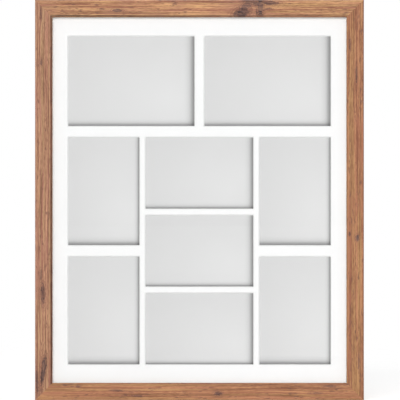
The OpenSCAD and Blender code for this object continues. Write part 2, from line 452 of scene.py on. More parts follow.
class KnotMark(Effect):
    """A knot or mineral streak that the grain runs round."""

    name = "knot mark"
    takes = {
        "Place": "NodeSocketVector",
        "Centre": "NodeSocketVector",
        "Half Size": "NodeSocketVector",
        "Turn": "NodeSocketFloat",
    }
    gives = {
        "Place": "NodeSocketVector",
        "Mark": "NodeSocketFloat",
        "Halo": "NodeSocketFloat",
        "Rings": "NodeSocketFloat",
    }
    rag = Layer(1.5 * MM, 3 * MM, 3 * MM, detail=3.0, rough=0.7, weight=2.6)
    cracks = Layer(1.2 * MM, 3 * MM, 7 * MM, rough=0.6)
    crack_range = (0.4, 0.53, 0.5, 1.0)
    mark_edge = (1.3, 0.75)
    halo_edge = (2.2, 0.9)
    ring_edge = (2.4, 1.3)
    ring_rise = (0.1, 0.8)
    ring_wander = 1.1
    ring_waves = 13.0
    push_edge = (2.6, 0.3)
    push_share = -0.42

    @classmethod
    def wire(cls, board: Board, given: bpy.types.NodeOutputs) -> dict[str, NodeSocket]:
        """Lays out a ragged oval, and pushes the grain outwards round it.

        Args:
            board: The group's tree.
            given: The group's inputs.

        Returns:
            The socket for each output.
        """
        away = board.vectors("SUBTRACT", given["Place"], given["Centre"]).outputs["Vector"]
        turned = board.add("ShaderNodeVectorRotate", rotation_type="Y_AXIS")
        board.feed(turned.inputs["Vector"], away)
        board.feed(turned.inputs["Angle"], given["Turn"])
        scaled = board.vectors("DIVIDE", turned.outputs["Vector"], given["Half Size"]).outputs["Vector"]
        across, _, along = board.parts(scaled)
        flat = board.add("ShaderNodeCombineXYZ")
        board.feed(flat.inputs["X"], across)
        board.feed(flat.inputs["Z"], along)
        radius = board.vectors("LENGTH", flat.outputs[0]).outputs["Value"]
        ragged = cls.rag.lay(board, given["Place"])
        edge = board.maths("MULTIPLY_ADD", board.maths("SUBTRACT", ragged, 0.5), cls.rag.weight, radius)
        broken = board.spread(cls.cracks.lay(board, given["Place"]), *cls.crack_range)
        mark = board.maths("MULTIPLY", board.step(edge, *cls.mark_edge), broken)
        halo = board.step(edge, *cls.halo_edge)
        waved = board.maths("MULTIPLY_ADD", ragged, cls.ring_wander, radius)
        wave = board.maths("SINE", board.maths("MULTIPLY", waved, cls.ring_waves))
        ring = board.step(wave, *cls.ring_rise)
        rings = board.maths("MULTIPLY", ring, board.step(radius, *cls.ring_edge))
        push = board.maths("MULTIPLY", board.step(radius, *cls.push_edge), cls.push_share)
        crosswise = board.vectors("MULTIPLY", away, (1.0, 0.0, 0.0)).outputs["Vector"]
        bend = board.vectors("SCALE", crosswise)
        board.feed(bend.inputs["Scale"], push)
        bent = board.vectors("ADD", given["Place"], bend.outputs["Vector"]).outputs["Vector"]
        return {"Place": bent, "Mark": mark, "Halo": halo, "Rings": rings}


class PaperTooth(Effect):
    """The fine tooth of paper and card, with a faint cloud of tint."""

    name = "paper tooth"
    takes = {"Place": "NodeSocketVector"}
    gives = {"Tooth": "NodeSocketFloat", "Cloud": "NodeSocketFloat"}
    coarse = Layer(0.6 * MM, 0.6 * MM, 0.6 * MM, rough=0.6, weight=0.55)
    fine = Layer(0.16 * MM, 0.16 * MM, 0.16 * MM, detail=1.0, weight=0.45)
    cloud = Layer(38 * MM, 38 * MM, 38 * MM, detail=3.0)

    @classmethod
    def wire(cls, board: Board, given: bpy.types.NodeOutputs) -> dict[str, NodeSocket]:
        """Lays out two sizes of tooth and a slow cloud.

        Args:
            board: The group's tree.
            given: The group's inputs.

        Returns:
            The socket for each output.
        """
        fine = board.maths("MULTIPLY", cls.fine.lay(board, given["Place"]), cls.fine.weight)
        coarse = cls.coarse.lay(board, given["Place"])
        tooth = board.maths("MULTIPLY_ADD", coarse, cls.coarse.weight, fine)
        return {"Tooth": tooth, "Cloud": cls.cloud.lay(board, given["Place"])}


class TumbledMetal(Effect):
    """Small stampings after tumbling and plating: fine scratches, spangle and rubbed edges."""

    name = "tumbled metal"
    takes = {"Place": "NodeSocketVector", "Arris": "NodeSocketFloat"}
    gives = {
        "Rub": "NodeSocketFloat",
        "Spangle": "NodeSocketFloat",
        "Roughness": "NodeSocketFloat",
        "Height": "NodeSocketFloat",
    }
    scratches = (
        Layer(0.09 * MM, 2.2 * MM, 1.6 * MM, detail=1.0),
        Layer(1.8 * MM, 1.8 * MM, 0.1 * MM, detail=1.0),
    )
    scratch_rise = (0.6, 0.78)
    spangles = Layer(1.1 * MM, 1.1 * MM, 1.1 * MM, detail=3.0, rough=0.6)
    wear = Layer(0.7 * MM, 0.7 * MM, 0.7 * MM, rough=0.6, weight=0.7)
    rub_rise = (0.75, 1.2)
    plain_rough = 0.2
    spangle_rough = 0.26
    scratch_rough = 0.16
    rubbed_rough = -0.1
    scratch_depth = -0.5

    @classmethod
    def wire(cls, board: Board, given: bpy.types.NodeOutputs) -> dict[str, NodeSocket]:
        """Lays out scratches in two directions, plating spangle and rubbed arrises.

        Args:
            board: The group's tree.
            given: The group's inputs.

        Returns:
            The socket for each output.
        """
        place = given["Place"]
        first, second = (layer.lay(board, place) for layer in cls.scratches)
        scratch = board.step(board.maths("MAXIMUM", first, second), *cls.scratch_rise)
        spangle = cls.spangles.lay(board, place)
        worn = board.maths("MULTIPLY_ADD", cls.wear.lay(board, place), cls.wear.weight, given["Arris"])
        rub = board.step(worn, *cls.rub_rise)
        rough: Source = cls.plain_rough
        shares = ((spangle, cls.spangle_rough), (scratch, cls.scratch_rough), (rub, cls.rubbed_rough))
        for share, change in shares:
            rough = board.maths("MULTIPLY_ADD", share, change, rough)
        height = board.maths("MULTIPLY_ADD", scratch, cls.scratch_depth, spangle)
        return {"Rub": rub, "Spangle": spangle, "Roughness": rough, "Height": height}


def blank_material(name: str) -> tuple[Material, Board, Node]:
    """Starts a material.

    Args:
        name: The material's name.

    Returns:
        The material, a board for its nodes, and its shader.
    """
    material = bpy.data.materials.new(name)
    material.use_nodes = True
    return material, Board(material.node_tree), material.node_tree.nodes["Principled BSDF"]


@dataclass(frozen=True)
class Knot:
    """A knot, or a run of dark mineral, on the face of a stick."""

    across: float
    along: float
    half_width: float
    half_length: float
    depth: float = 0.8
    turn: float = 0.0


@dataclass(frozen=True)
class StainedWood:
    """Stained softwood of one stick, with painted shade along its sight edge and painted shade or a painted
    highlight along its outer edge.

    In every finish a rise or a range says where an effect starts and ends, a share says how
    strong it is, and a matte or satin range maps a pattern to roughness.
    """

    name: str
    dark: Colour
    middle: Colour
    light: Colour
    flush: Colour
    seed: tuple[float, float, float]
    # Painted light on the arrises: a dark tint paints shade along the sight edge, and another tint paints
    # shade or a highlight along the outer edge, each fading along the stick.
    sight_shade_run: tuple[float, float] = (0.0, 0.0)
    outer_light_and_shade_run: tuple[float, float] = (0.0, 0.0)
    sight_shade_tint: Colour = tone(60, 34, 24)
    outer_light_and_shade_tint: Colour = tone(120, 56, 34)
    hues: tuple[Colour, Colour] = (tone(216, 176, 186), tone(184, 198, 158))
    knots: tuple[Knot, ...] = ()
    stops: tuple[float, float, float] = (0.3, 0.5, 0.68)
    band_share: float = 0.5
    flush_rise: tuple[float, float] = (0.46, 0.72)
    flush_share: float = 0.75
    hue_rise: tuple[float, float] = (0.42, 0.58)
    hue_share: float = 0.32
    dash: tuple[float, Colour] = (0.72, tone(112, 76, 64))
    halo: tuple[float, Colour] = (0.4, tone(158, 104, 82))
    ring: tuple[float, Colour] = (0.55, tone(98, 66, 54))
    heart: tuple[tuple[float, Colour], ...] = ((0.36, tone(62, 46, 46)), (0.64, tone(116, 84, 74)))
    # Where the painted sight-edge shade and the painted outer-edge shade or highlight lie: across the face,
    # and in depth.
    sight_shade_from: tuple[float, float] = (3.2 * MM, 1.9 * MM)
    sight_shade_to: tuple[float, float] = (0.5 * MM, 1.1 * MM)
    outer_light_and_shade_width: tuple[float, float] = (2.0 * MM, 0.7 * MM)
    outer_light_and_shade_depth: tuple[float, float] = (-17 * MM, -19 * MM)
    # Patches that break up the painted arris shade and highlight.
    patches: Layer = Layer(20 * MM, 20 * MM, 26 * MM, rough=0.6)
    patch_range: tuple[float, float, float, float] = (0.3, 0.6, 0.72, 1.1)
    satin: tuple[float, float, float, float] = (0.3, 0.7, 0.62, 0.44)
    relief: float = 0.16 * MM
    relief_share: float = 0.8
    knot_sink: float = -0.3
    specular: float = 0.26
    bare_stops: tuple[tuple[float, Colour], ...] = (
        (0.3, tone(176, 139, 97)), (0.5, tone(204, 170, 126)), (0.7, tone(223, 193, 150)),
    )
    bare_dash: tuple[float, Colour] = (0.45, tone(150, 110, 74))
    bare_matte: tuple[float, float, float, float] = (0.3, 0.7, 0.85, 0.7)
    bare_relief: float = 0.2 * MM
    bare_specular: float = 0.3
    creep: Layer = Layer(3 * MM, 3 * MM, 12 * MM, detail=3.0, rough=0.6, weight=-5 * MM)
    creep_reach: tuple[float, float] = (0.4 * MM, -1.6 * MM)
    creep_share: float = 0.85

    def coordinates(self, board: Board, placing: Matrix) -> NodeSocket:
        """Reads the place on a stick, as its distance in from the outer face, depth and length.

        Args:
            board: The material's tree.
            placing: The matrix that puts a stick on its side of the frame.

        Returns:
            The place on the stick.
        """
        inverse = placing.inverted()
        node = board.add("ShaderNodeMapping", vector_type="POINT")
        node.inputs["Location"].default_value = inverse.to_translation()
        node.inputs["Rotation"].default_value = inverse.to_euler()
        board.feed(node.inputs["Vector"], board.here())
        return node.outputs[0]

    def run(self, board: Board, place: NodeSocket, ends: tuple[float, float], half: float) -> NodeSocket:
        """Fades a painted arris shade or highlight from one end of the stick to the other, in patches.

        Args:
            board: The material's tree.
            place: The place on the stick.
            ends: Its strength at the stick's start and at its end.
            half: Half the stick's length.

        Returns:
            The strength here.
        """
        even = board.spread(board.parts(place)[2], -half, half, *ends)
        patchy = board.spread(self.patches.lay(board, place), *self.patch_range)
        return board.maths("MULTIPLY", even, patchy)

    def knotted(self, board: Board, place: NodeSocket) -> tuple[NodeSocket, Source, Source, Source]:
        """Lays out the stick's knots, one after another.

        Args:
            board: The material's tree.
            place: The place on the stick.

        Returns:
            The place as the grain bends round the knots, and the strength of the knots, of their
            halos and of their rings.
        """
        marks: dict[str, Source] = {"Mark": 0.0, "Halo": 0.0, "Rings": 0.0}
        for knot in self.knots:
            group = board.place(
                KnotMark,
                place=place,
                centre=(knot.across, 0.0, knot.along),
                half_size=(knot.half_width, 1.0, knot.half_length),
                turn=math.radians(knot.turn),
            )
            place = group.outputs["Place"]
            for label, depth in (("Mark", knot.depth), ("Halo", 1.0), ("Rings", knot.depth)):
                mark = board.maths("MULTIPLY", group.outputs[label], depth)
                marks[label] = board.maths("MAXIMUM", marks[label], mark)
        return place, marks["Mark"], marks["Halo"], marks["Rings"]

    def over(self, board: Board, colour: Source, share: Source, patch: tuple[float, Colour]) -> NodeSocket:
        """Lays a patch, as its greatest strength and its colour, over a colour where a share says."""
        strength, tint = patch
        return board.mix(board.maths("MULTIPLY", share, strength), colour, tint)

    def stained(self, placing: Matrix, half: float, face: float) -> Material:
        """Makes the stained face.

        Args:
            placing: The matrix that puts the stick on its side.
            half: Half the stick's length.
            face: The width of the moulding's face.

        Returns:
            The material.
        """
        material, board, shader = blank_material(f"stained_{self.name}")
        place = self.coordinates(board, placing)
        bent, mark, halo, rings = self.knotted(board, place)
        grain = board.place(WoodGrain, place=bent, seed=self.seed).outputs
        streak = board.maths("MULTIPLY_ADD", grain["Band"], self.band_share, grain["Streak"])
        streak = board.maths("SUBTRACT", streak, self.band_share / 2)
        colour = board.ramp(streak, list(zip(self.stops, (self.dark, self.middle, self.light))))
        flushed = board.step(grain["Drift"], *self.flush_rise)
        colour = self.over(board, colour, flushed, (self.flush_share, self.flush))
        hue = board.mix(board.step(grain["Hue"], *self.hue_rise), *self.hues)
        colour = board.mix(self.hue_share, colour, hue, "SOFT_LIGHT")
        for share, patch in ((grain["Dash"], self.dash), (halo, self.halo), (rings, self.ring)):
            colour = self.over(board, colour, share, patch)
        colour = board.mix(mark, colour, board.ramp(grain["Streak"], self.heart))
        across, deep, _ = board.parts(place)
        # Painted shade or painted highlight along the outer arris of the face.
        outer = board.step(deep, *self.outer_light_and_shade_depth)
        outer = board.maths("MULTIPLY", board.step(across, *self.outer_light_and_shade_width), outer)
        outer = board.maths("MULTIPLY", outer, self.run(board, place, self.outer_light_and_shade_run, half))
        colour = board.mix(outer, colour, self.outer_light_and_shade_tint)
        # Painted shade along the sight edge.
        rise = board.step(across, *(face - reach for reach in self.sight_shade_from))
        fall = board.step(across, *(face - reach for reach in self.sight_shade_to))
        sight = board.maths("MULTIPLY", rise, fall)
        sight = board.maths("MULTIPLY", sight, self.run(board, place, self.sight_shade_run, half))
        colour = board.mix(sight, colour, self.sight_shade_tint)
        height = board.maths("MULTIPLY_ADD", mark, self.knot_sink, grain["Height"])
        satin = board.spread(grain["Streak"], *self.satin)
        relief = board.bump(height, self.relief, self.relief_share)
        board.dress(shader, colour, satin, relief, self.specular)
        return material

    def raw(self, placing: Matrix) -> Material:
        """Makes the bare wood of the rebate and the back, with stain that crept round the outer edge.

        Args:
            placing: The matrix that puts the stick on its side.

        Returns:
            The material.
        """
        material, board, shader = blank_material(f"bare_{self.name}")
        place = self.coordinates(board, placing)
        grain = board.place(WoodGrain, place=place, seed=self.seed).outputs
        streak = board.maths("MULTIPLY", board.maths("ADD", grain["Band"], grain["Streak"]), 0.5)
        colour = self.over(board, board.ramp(streak, self.bare_stops), grain["Dash"], self.bare_dash)
        across = board.parts(place)[0]
        crept = board.maths("MULTIPLY_ADD", self.creep.lay(board, place), self.creep.weight, across)
        crept = board.step(crept, *self.creep_reach)
        colour = self.over(board, colour, crept, (self.creep_share, self.middle))
        matte = board.spread(grain["Streak"], *self.bare_matte)
        relief = board.bump(grain["Height"], self.bare_relief, self.relief_share)
        board.dress(shader, colour, matte, relief, self.bare_specular)
        return material


@dataclass(frozen=True)
class ClearGlass:
    """Float glass: clear through its faces, with ground edges."""

    tint: Colour = (0.992, 0.995, 0.993, 1.0)
    edge_tint: Colour = tone(150, 196, 180)
    edge_shade: Colour = tone(116, 168, 150)
    refraction: float = 1.5
    rolling: Layer = Layer(90 * MM, 90 * MM, 90 * MM, detail=1.0, rough=0.4)
    rolling_depth: float = 0.02 * MM
    rolling_share: float = 0.2
    grit: Layer = Layer(0.3 * MM, 0.3 * MM, 0.3 * MM, detail=3.0, rough=0.6)
    grit_rise: tuple[float, float] = (0.3, 0.7)
    grit_depth: float = 0.05 * MM
    frost: tuple[float, float, float, float] = (0.3, 0.7, 0.35, 0.6)

    def pane(self) -> Material:
        """Makes the faces. Light from lamps and from the room goes straight through.

        Returns:
            The material.
        """
        material, board, shader = blank_material("clear_glass")
        shader.inputs["Base Color"].default_value = self.tint
        shader.inputs["Transmission Weight"].default_value = 1.0
        shader.inputs["Roughness"].default_value = 0.0
        shader.inputs["IOR"].default_value = self.refraction
        rolled = self.rolling.lay(board, board.here())
        board.feed(shader.inputs["Normal"], board.bump(rolled, self.rolling_depth, self.rolling_share))
        path = board.add("ShaderNodeLightPath")
        passing = board.maths("MAXIMUM", path.outputs["Is Shadow Ray"], path.outputs["Is Diffuse Ray"])
        board.clear_where(passing, shader)
        return material

    def edge(self) -> Material:
        """Makes the ground edge, where the glass looks green and frosted.

        Returns:
            The material.
        """
        material, board, shader = blank_material("ground_glass_edge")
        grit = self.grit.lay(board, board.here())
        colour = board.mix(board.step(grit, *self.grit_rise), self.edge_shade, self.edge_tint)
        board.dress(shader, colour, board.spread(grit, *self.frost), board.bump(grit, self.grit_depth))
        return material


@dataclass(frozen=True)
class MatCard:
    """White mat board: a smooth paper face over a bright core."""

    face: Colour = tone(252, 252, 252)
    core: Colour = tone(252, 252, 252)
    shade: Colour = tone(249, 250, 250)
    cloud_rise: tuple[float, float] = (0.35, 0.65)
    cloud_share: float = 0.35
    matte: tuple[float, float, float, float] = (0.3, 0.7, 0.95, 0.8)
    core_matte: tuple[float, float, float, float] = (0.3, 0.7, 0.98, 0.88)
    pull: Layer = Layer(2.5 * MM, 0.12 * MM, 2.5 * MM, rough=0.6)
    pull_rise: tuple[float, float] = (0.45, 0.75)
    relief: float = 0.03 * MM
    face_relief_share: float = 0.7
    core_relief_share: float = 0.6
    specular: float = 0.2

    def sheet(self) -> Material:
        """Makes the paper face.

        Returns:
            The material.
        """
        material, board, shader = blank_material("mat_paper")
        paper = board.place(PaperTooth, place=board.here()).outputs
        cloud = board.maths("MULTIPLY", board.step(paper["Cloud"], *self.cloud_rise), self.cloud_share)
        colour = board.mix(cloud, self.face, self.shade)
        matte = board.spread(paper["Tooth"], *self.matte)
        relief = board.bump(paper["Tooth"], self.relief, self.face_relief_share)
        board.dress(shader, colour, matte, relief, self.specular)
        return material

    def bevel(self) -> Material:
        """Makes the cut core that shows in the bevels and at the edges, pulled a little by the blade.

        Returns:
            The material.
        """
        material, board, shader = blank_material("mat_core")
        place = board.here()
        paper = board.place(PaperTooth, place=place).outputs
        pulled = self.pull.lay(board, place)
        colour = board.mix(board.step(pulled, *self.pull_rise), self.core, self.shade)
        matte = board.spread(paper["Tooth"], *self.core_matte)
        relief = board.bump(pulled, self.relief, self.core_relief_share)
        board.dress(shader, colour, matte, relief, self.specular)
        return material


@dataclass(frozen=True)
class PhotoPaper:
    """A grey print on photo paper, painted paler towards one spot and with painted shade along its right
    edge and foot. Its UV map runs from 0 to 1 over the window.
    """

    # Painted highlight: the face goes from the first grey near one spot in the window to the second grey
    # away from it.
    pale: Colour = tone(225, 225, 225)
    deep: Colour = tone(212, 212, 212)
    bright_spot: tuple[float, float] = (0.8, 0.3)
    painted_highlight_range: tuple[float, float, float, float] = (0.07, 1.05, 0.0, 1.0)
    cloud_share: float = 0.14
    # Painted shade along the right edge and the foot: the grey's share by distance in from the edge, as a
    # part of the shade's width.
    fade: tuple[tuple[float, float], ...] = (
        (0.0, 0.3), (0.16, 0.38), (0.27, 0.55), (0.41, 0.76), (0.57, 0.88), (0.76, 0.95), (1.0, 1.0),
    )
    painted_shade_width: float = 0.085
    satin: tuple[float, float, float, float] = (0.3, 0.7, 0.62, 0.5)
    back_tones: tuple[Colour, Colour] = (tone(240, 240, 236), tone(246, 246, 243))
    back_cloud: tuple[float, float] = (0.35, 0.65)
    back_matte: tuple[float, float, float, float] = (0.3, 0.7, 0.75, 0.6)
    relief: float = 0.02 * MM
    face_relief_share: float = 0.4
    back_relief_share: float = 0.5
    specular: float = 0.25

    def printed(self) -> Material:
        """Makes the printed face: grey, with a painted highlight towards one spot and painted shade towards
        the right and the foot.

        Returns:
            The material.
        """
        material, board, shader = blank_material("grey_print")
        window = board.add("ShaderNodeUVMap", uv_map="window").outputs[0]
        paper = board.place(PaperTooth, place=board.here()).outputs
        across, up, _ = board.parts(window)
        # Painted highlight: paler near one spot, with a little paper cloud.
        away = board.vectors("DISTANCE", window, (*self.bright_spot, 0.0)).outputs["Value"]
        cloud = board.maths("MULTIPLY_ADD", paper["Cloud"], self.cloud_share, away)
        colour = board.mix(board.spread(cloud, *self.painted_highlight_range), self.pale, self.deep)
        stops = [(at, (level, level, level, 1.0)) for at, level in self.fade]
        # Painted shade darkening towards the right edge and the foot.
        for distance in (board.maths("SUBTRACT", 1.0, across), up):
            shade = board.ramp(board.maths("DIVIDE", distance, self.painted_shade_width), stops)
            colour = board.mix(1.0, colour, shade, "MULTIPLY")
        satin = board.spread(paper["Tooth"], *self.satin)
        relief = board.bump(paper["Tooth"], self.relief, self.face_relief_share)
        board.dress(shader, colour, satin, relief, self.specular)
        return material

    def stock(self) -> Material:
        """Makes the white back and edges of the print.

        Returns:
            The material.
        """
        material, board, shader = blank_material("print_back")
        paper = board.place(PaperTooth, place=board.here()).outputs
        colour = board.mix(board.step(paper["Cloud"], *self.back_cloud), *self.back_tones)
        matte = board.spread(paper["Tooth"], *self.back_matte)
        board.dress(shader, colour, matte, board.bump(paper["Tooth"], self.relief, self.back_relief_share))
        return material


@dataclass(frozen=True)
class Hardboard:
    """Brown hardboard, its fibres pressed smooth on the face."""

    dark: Colour = tone(122, 86, 56)
    middle: Colour = tone(150, 110, 74)
    light: Colour = tone(170, 131, 92)
    stops: tuple[float, float, float] = (0.46, 0.57, 0.7)
    fibre_turns: tuple[float, ...] = (12.0, 57.0, 101.0, 148.0)
    fibres: Layer = Layer(0.3 * MM, 1.0 * MM, 3.6 * MM, rough=0.6, weight=0.86)
    clouds: Layer = Layer(16 * MM, 16 * MM, 16 * MM, detail=4.0, rough=0.6, weight=0.14)
    specks: Layer = Layer(0.9 * MM, 0.9 * MM, 0.9 * MM, detail=1.0, rough=0.4, weight=0.6)
    speck_rise: tuple[float, float] = (0.7, 0.78)
    speck_tone: Colour = tone(88, 60, 40)
    polish: tuple[float, float, float, float] = (0.5, 0.75, 0.7, 0.5)
    relief: float = 0.06 * MM
    relief_share: float = 0.8
    specular: float = 0.35
    layers: Layer = Layer(3 * MM, 0.25 * MM, 3 * MM, detail=3.0, rough=0.6)
    edge_stops: tuple[tuple[float, Colour], ...] = ((0.35, tone(92, 62, 40)), (0.65, tone(140, 103, 70)))
    edge_matte: tuple[float, float, float, float] = (0.3, 0.7, 0.95, 0.8)
    edge_relief: float = 0.15 * MM

    def face(self) -> Material:
        """Makes the pressed face, with its fibres lying in every direction.

        Returns:
            The material.
        """
        material, board, shader = blank_material("hardboard_face")
        place = board.here()
        fibre: Source = 0.0
        for turn in self.fibre_turns:
            turned = board.add("ShaderNodeMapping", vector_type="POINT")
            turned.inputs["Rotation"].default_value = (0.0, math.radians(turn), 0.0)
            board.feed(turned.inputs["Vector"], place)
            fibre = board.maths("MAXIMUM", fibre, self.fibres.lay(board, turned.outputs[0]))
        mixed = board.maths("MULTIPLY", fibre, self.fibres.weight)
        mixed = board.maths("MULTIPLY_ADD", self.clouds.lay(board, place), self.clouds.weight, mixed)
        colour = board.ramp(mixed, list(zip(self.stops, (self.dark, self.middle, self.light))))
        speck = board.step(self.specks.lay(board, place), *self.speck_rise)
        colour = board.mix(board.maths("MULTIPLY", speck, self.specks.weight), colour, self.speck_tone)
        polish = board.spread(fibre, *self.polish)
        relief = board.bump(fibre, self.relief, self.relief_share)
        board.dress(shader, colour, polish, relief, self.specular)
        return material

    def edge(self) -> Material:
        """Makes the sawn edge, darker and rougher than the face.

        Returns:
            The material.
        """
        material, board, shader = blank_material("hardboard_edge")
        sawn = self.layers.lay(board, board.here())
        matte = board.spread(sawn, *self.edge_matte)
        board.dress(shader, board.ramp(sawn, self.edge_stops), matte, board.bump(sawn, self.edge_relief))
        return material


@dataclass(frozen=True)
class PlatedSteel:
    """Plated or bare steel of the small fittings."""

    name: str
    body: Colour
    cloud: Colour
    rubbed: Colour
    cloud_rise: tuple[float, float] = (0.35, 0.68)
    relief: float = 0.02 * MM
    relief_share: float = 0.6

    def material(self) -> Material:
        """Makes the metal.

        Returns:
            The material.
        """
        material, board, shader = blank_material(self.name)
        arris = board.add("ShaderNodeAttribute", attribute_name="arris").outputs["Fac"]
        metal = board.place(TumbledMetal, place=board.here(), arris=arris).outputs
        colour = board.mix(board.step(metal["Spangle"], *self.cloud_rise), self.body, self.cloud)
        colour = board.mix(metal["Rub"], colour, self.rubbed)
        relief = board.bump(metal["Height"], self.relief, self.relief_share)
        board.dress(shader, colour, metal["Roughness"], relief)
        shader.inputs["Metallic"].default_value = 1.0
        return material


TAB_STEEL = PlatedSteel("tab_steel", tone(150, 152, 156), tone(176, 178, 181), tone(214, 215, 216))
HANGER_PLATE = PlatedSteel("hanger_plate", tone(186, 186, 182), tone(208, 207, 202), tone(232, 231, 228))


class Blank:
    """A shape on the bench, with the cuts that the pieces share."""

    def __init__(self) -> None:
        """Starts with nothing on the bench."""
        self.shape: BMesh = bmesh.new()
        self.arris = self.shape.verts.layers.float.new("arris")

    def everything(self) -> list[BMVert | BMEdge | BMFace]:
        """Lists every point, edge and face."""
        return [*self.shape.verts, *self.shape.edges, *self.shape.faces]

    def face(self, corners: Iterable[Sequence[float]]) -> BMFace:
        """Lays one flat face, by its corners in order."""
        return self.shape.faces.new([self.shape.verts.new(corner) for corner in corners])

    def box(self, low: Vector, high: Vector) -> None:
        """Lays a box from its lowest corner to its highest."""
        fit = Matrix.Translation((low + high) / 2) @ Matrix.Diagonal((*(high - low), 1.0))
        bmesh.ops.create_cube(self.shape, size=1.0, matrix=fit)

    def cut(self, point: Sequence[float], normal: Sequence[float], drop: bool = False) -> None:
        """Cuts through everything with a plane.

        Args:
            point: A point on the plane.
            normal: The way that the plane faces.
            drop: Whether what lies beyond the plane goes.
        """
        bmesh.ops.bisect_plane(
            self.shape, geom=self.everything(), dist=CUT_REACH, plane_co=point,
            plane_no=Vector(normal).normalized(), clear_outer=drop,
        )

    def push(self, faces: Sequence[BMFace], by: Sequence[float]) -> list[BMFace]:
        """Draws faces out into a body.

        Args:
            faces: The faces.
            by: How far they move.

        Returns:
            The faces at their new place.
        """
        drawn = bmesh.ops.extrude_face_region(self.shape, geom=list(faces))["geom"]
        moved = [item for item in drawn if isinstance(item, BMVert)]
        bmesh.ops.translate(self.shape, verts=moved, vec=by)
        return [item for item in drawn if isinstance(item, BMFace)]

    def edges(self, test: Callable[[BMEdge], bool]) -> list[BMEdge]:
        """Picks the edges that pass a test."""
        return [edge for edge in self.shape.edges if test(edge)]

    def sharp(self, least: float = 50.0) -> list[BMEdge]:
        """Picks the edges that turn by at least so many degrees."""
        limit = math.radians(least)
        return self.edges(lambda edge: len(edge.link_faces) == 2 and edge.calc_face_angle() > limit)

    def ease(self, edges: Sequence[BMEdge], radius: float, steps: int = 2) -> None:
        """Rounds edges over, and marks the middle of the rounding as an arris.

        Args:
            edges: The edges.
            radius: The radius of the rounding.
            steps: How many faces it has.
        """
        made = bmesh.ops.bevel(
            self.shape, geom=list(edges), offset=radius, offset_type="OFFSET", segments=steps,
            profile=0.5, affect="EDGES", clamp_overlap=True, material=-1,
        )["faces"]
        rounding = set(made)
        for vert in {vert for each in made for vert in each.verts}:
            if all(each in rounding for each in vert.link_faces):
                vert[self.arris] = 1.0

    def round_corners(self, points: Iterable[BMVert], radius: float, steps: int) -> None:
        """Rounds the corners of a flat shape.

        Args:
            points: The corners.
            radius: How far from the corner the rounding starts.
            steps: How many edges it has.
        """
        bmesh.ops.bevel(
            self.shape, geom=list(points), offset=radius, offset_type="OFFSET", segments=steps,
            profile=0.5, affect="VERTICES", material=-1,
        )

    def face_outwards(self) -> None:
        """Turns every face to look outwards."""
        bmesh.ops.recalc_face_normals(self.shape, faces=self.shape.faces)

    def weld(self) -> None:
        """Joins the points that lie in one place."""
        bmesh.ops.remove_doubles(self.shape, verts=self.shape.verts, dist=TINY)

    def move(self, by: Sequence[float]) -> None:
        """Moves the whole shape."""
        bmesh.ops.translate(self.shape, verts=self.shape.verts, vec=by)

    def place(self, matrix: Matrix, points: Iterable[BMVert] | None = None) -> None:
        """Takes points through a matrix, or the whole shape if none are given."""
        points = self.shape.verts if points is None else points
        bmesh.ops.transform(self.shape, matrix=matrix, verts=list(points))

    def close(self) -> None:
        """Closes every open loop with a face."""
        bmesh.ops.holes_fill(self.shape, edges=self.edges(lambda edge: edge.is_boundary), sides=0)

    def made(
        self, name: str, finishes: Sequence[Material], choose: Callable[[BMFace], int] | None = None
    ) -> Object:
        """Takes the shape off the bench as a finished piece.

        Args:
            name: The piece's name.
            finishes: Its materials.
            choose: Says which of them a face takes. The first, if it isn't given.

        Returns:
            The piece.
        """
        self.weld()
        self.face_outwards()
        if choose is not None:
            for each in self.shape.faces:
                each.material_index = choose(each)
        mesh = bpy.data.meshes.new(name)
        self.shape.to_mesh(mesh)
        self.shape.free()
        for finish in finishes:
            mesh.materials.append(finish)
        piece = bpy.data.objects.new(name, mesh)
        bpy.context.scene.collection.objects.link(piece)
        soften(piece)
        return piece


def by_flatness(least: float) -> Callable[[BMFace], int]:
    """Chooses the first finish for faces that look so squarely along Y, and the second for others."""
    return lambda each: int(abs(each.normal.y) < least)


def soften(piece: Object, angle: float = 38.0, flat_weight: int = 80) -> None:
    """Shades roundings smoothly and keeps flat faces flat.

    Args:
        piece: The piece.
        angle: The turn, in degrees, past which an edge stays sharp.
        flat_weight: How strongly large faces pull the shading of their corners.
    """
    piece.data.shade_smooth()
    piece.data.set_sharp_from_angle(angle=math.radians(angle))
    weighted = piece.modifiers.new("flat faces stay flat", "WEIGHTED_NORMAL")
    weighted.keep_sharp = True
    weighted.weight = flat_weight


def carve(piece: Object, cutters: Sequence[Object]) -> None:
    """Takes the space of other shapes out of a piece, for good.

    Args:
        piece: The piece.
        cutters: The shapes that are taken out of it.
    """
    for cutter in cutters:
        step = piece.modifiers.new("carve", "BOOLEAN")
        step.operation = "DIFFERENCE"
        step.solver = "EXACT"
        step.object = cutter
    others = [step for step in piece.modifiers if step.type != "BOOLEAN"]
    for step in others:
        piece.modifiers.remove(step)
    bpy.context.view_layer.update()
    graph = bpy.context.evaluated_depsgraph_get()
    mesh = bpy.data.meshes.new_from_object(piece.evaluated_get(graph))
    mesh.name = piece.name
    piece.modifiers.clear()
    piece.data = mesh


def report(piece: Object, body: str) -> None:
    """Says what a piece is and which body it moves with."""
    LOG.info("%s: %d faces, on %s", piece.name, len(piece.data.polygons), body)


def settle(piece: Object, body: str, node: str) -> None:
    """Puts a piece on its body, in the place of the node it stands for.

    Args:
        piece: The piece.
        body: The body it rides on.
        node: The node it stands for.
    """
    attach(piece, body)
    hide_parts(node)
    report(piece, body)


class Side(Enum):
    """A side of the frame, as the turn about Y that brings the left side there."""

    LEFT = 0
    TOP = 90
    RIGHT = 180
    BOTTOM = 270

    @property
    def upright(self) -> bool:
        """Whether a stile is on this side."""
        return self in (Side.LEFT, Side.RIGHT)

    @property
    def stick(self) -> str:
        """The name of this side's stick."""
        return f"{'stile' if self.upright else 'rail'}_{self.name.lower()}"
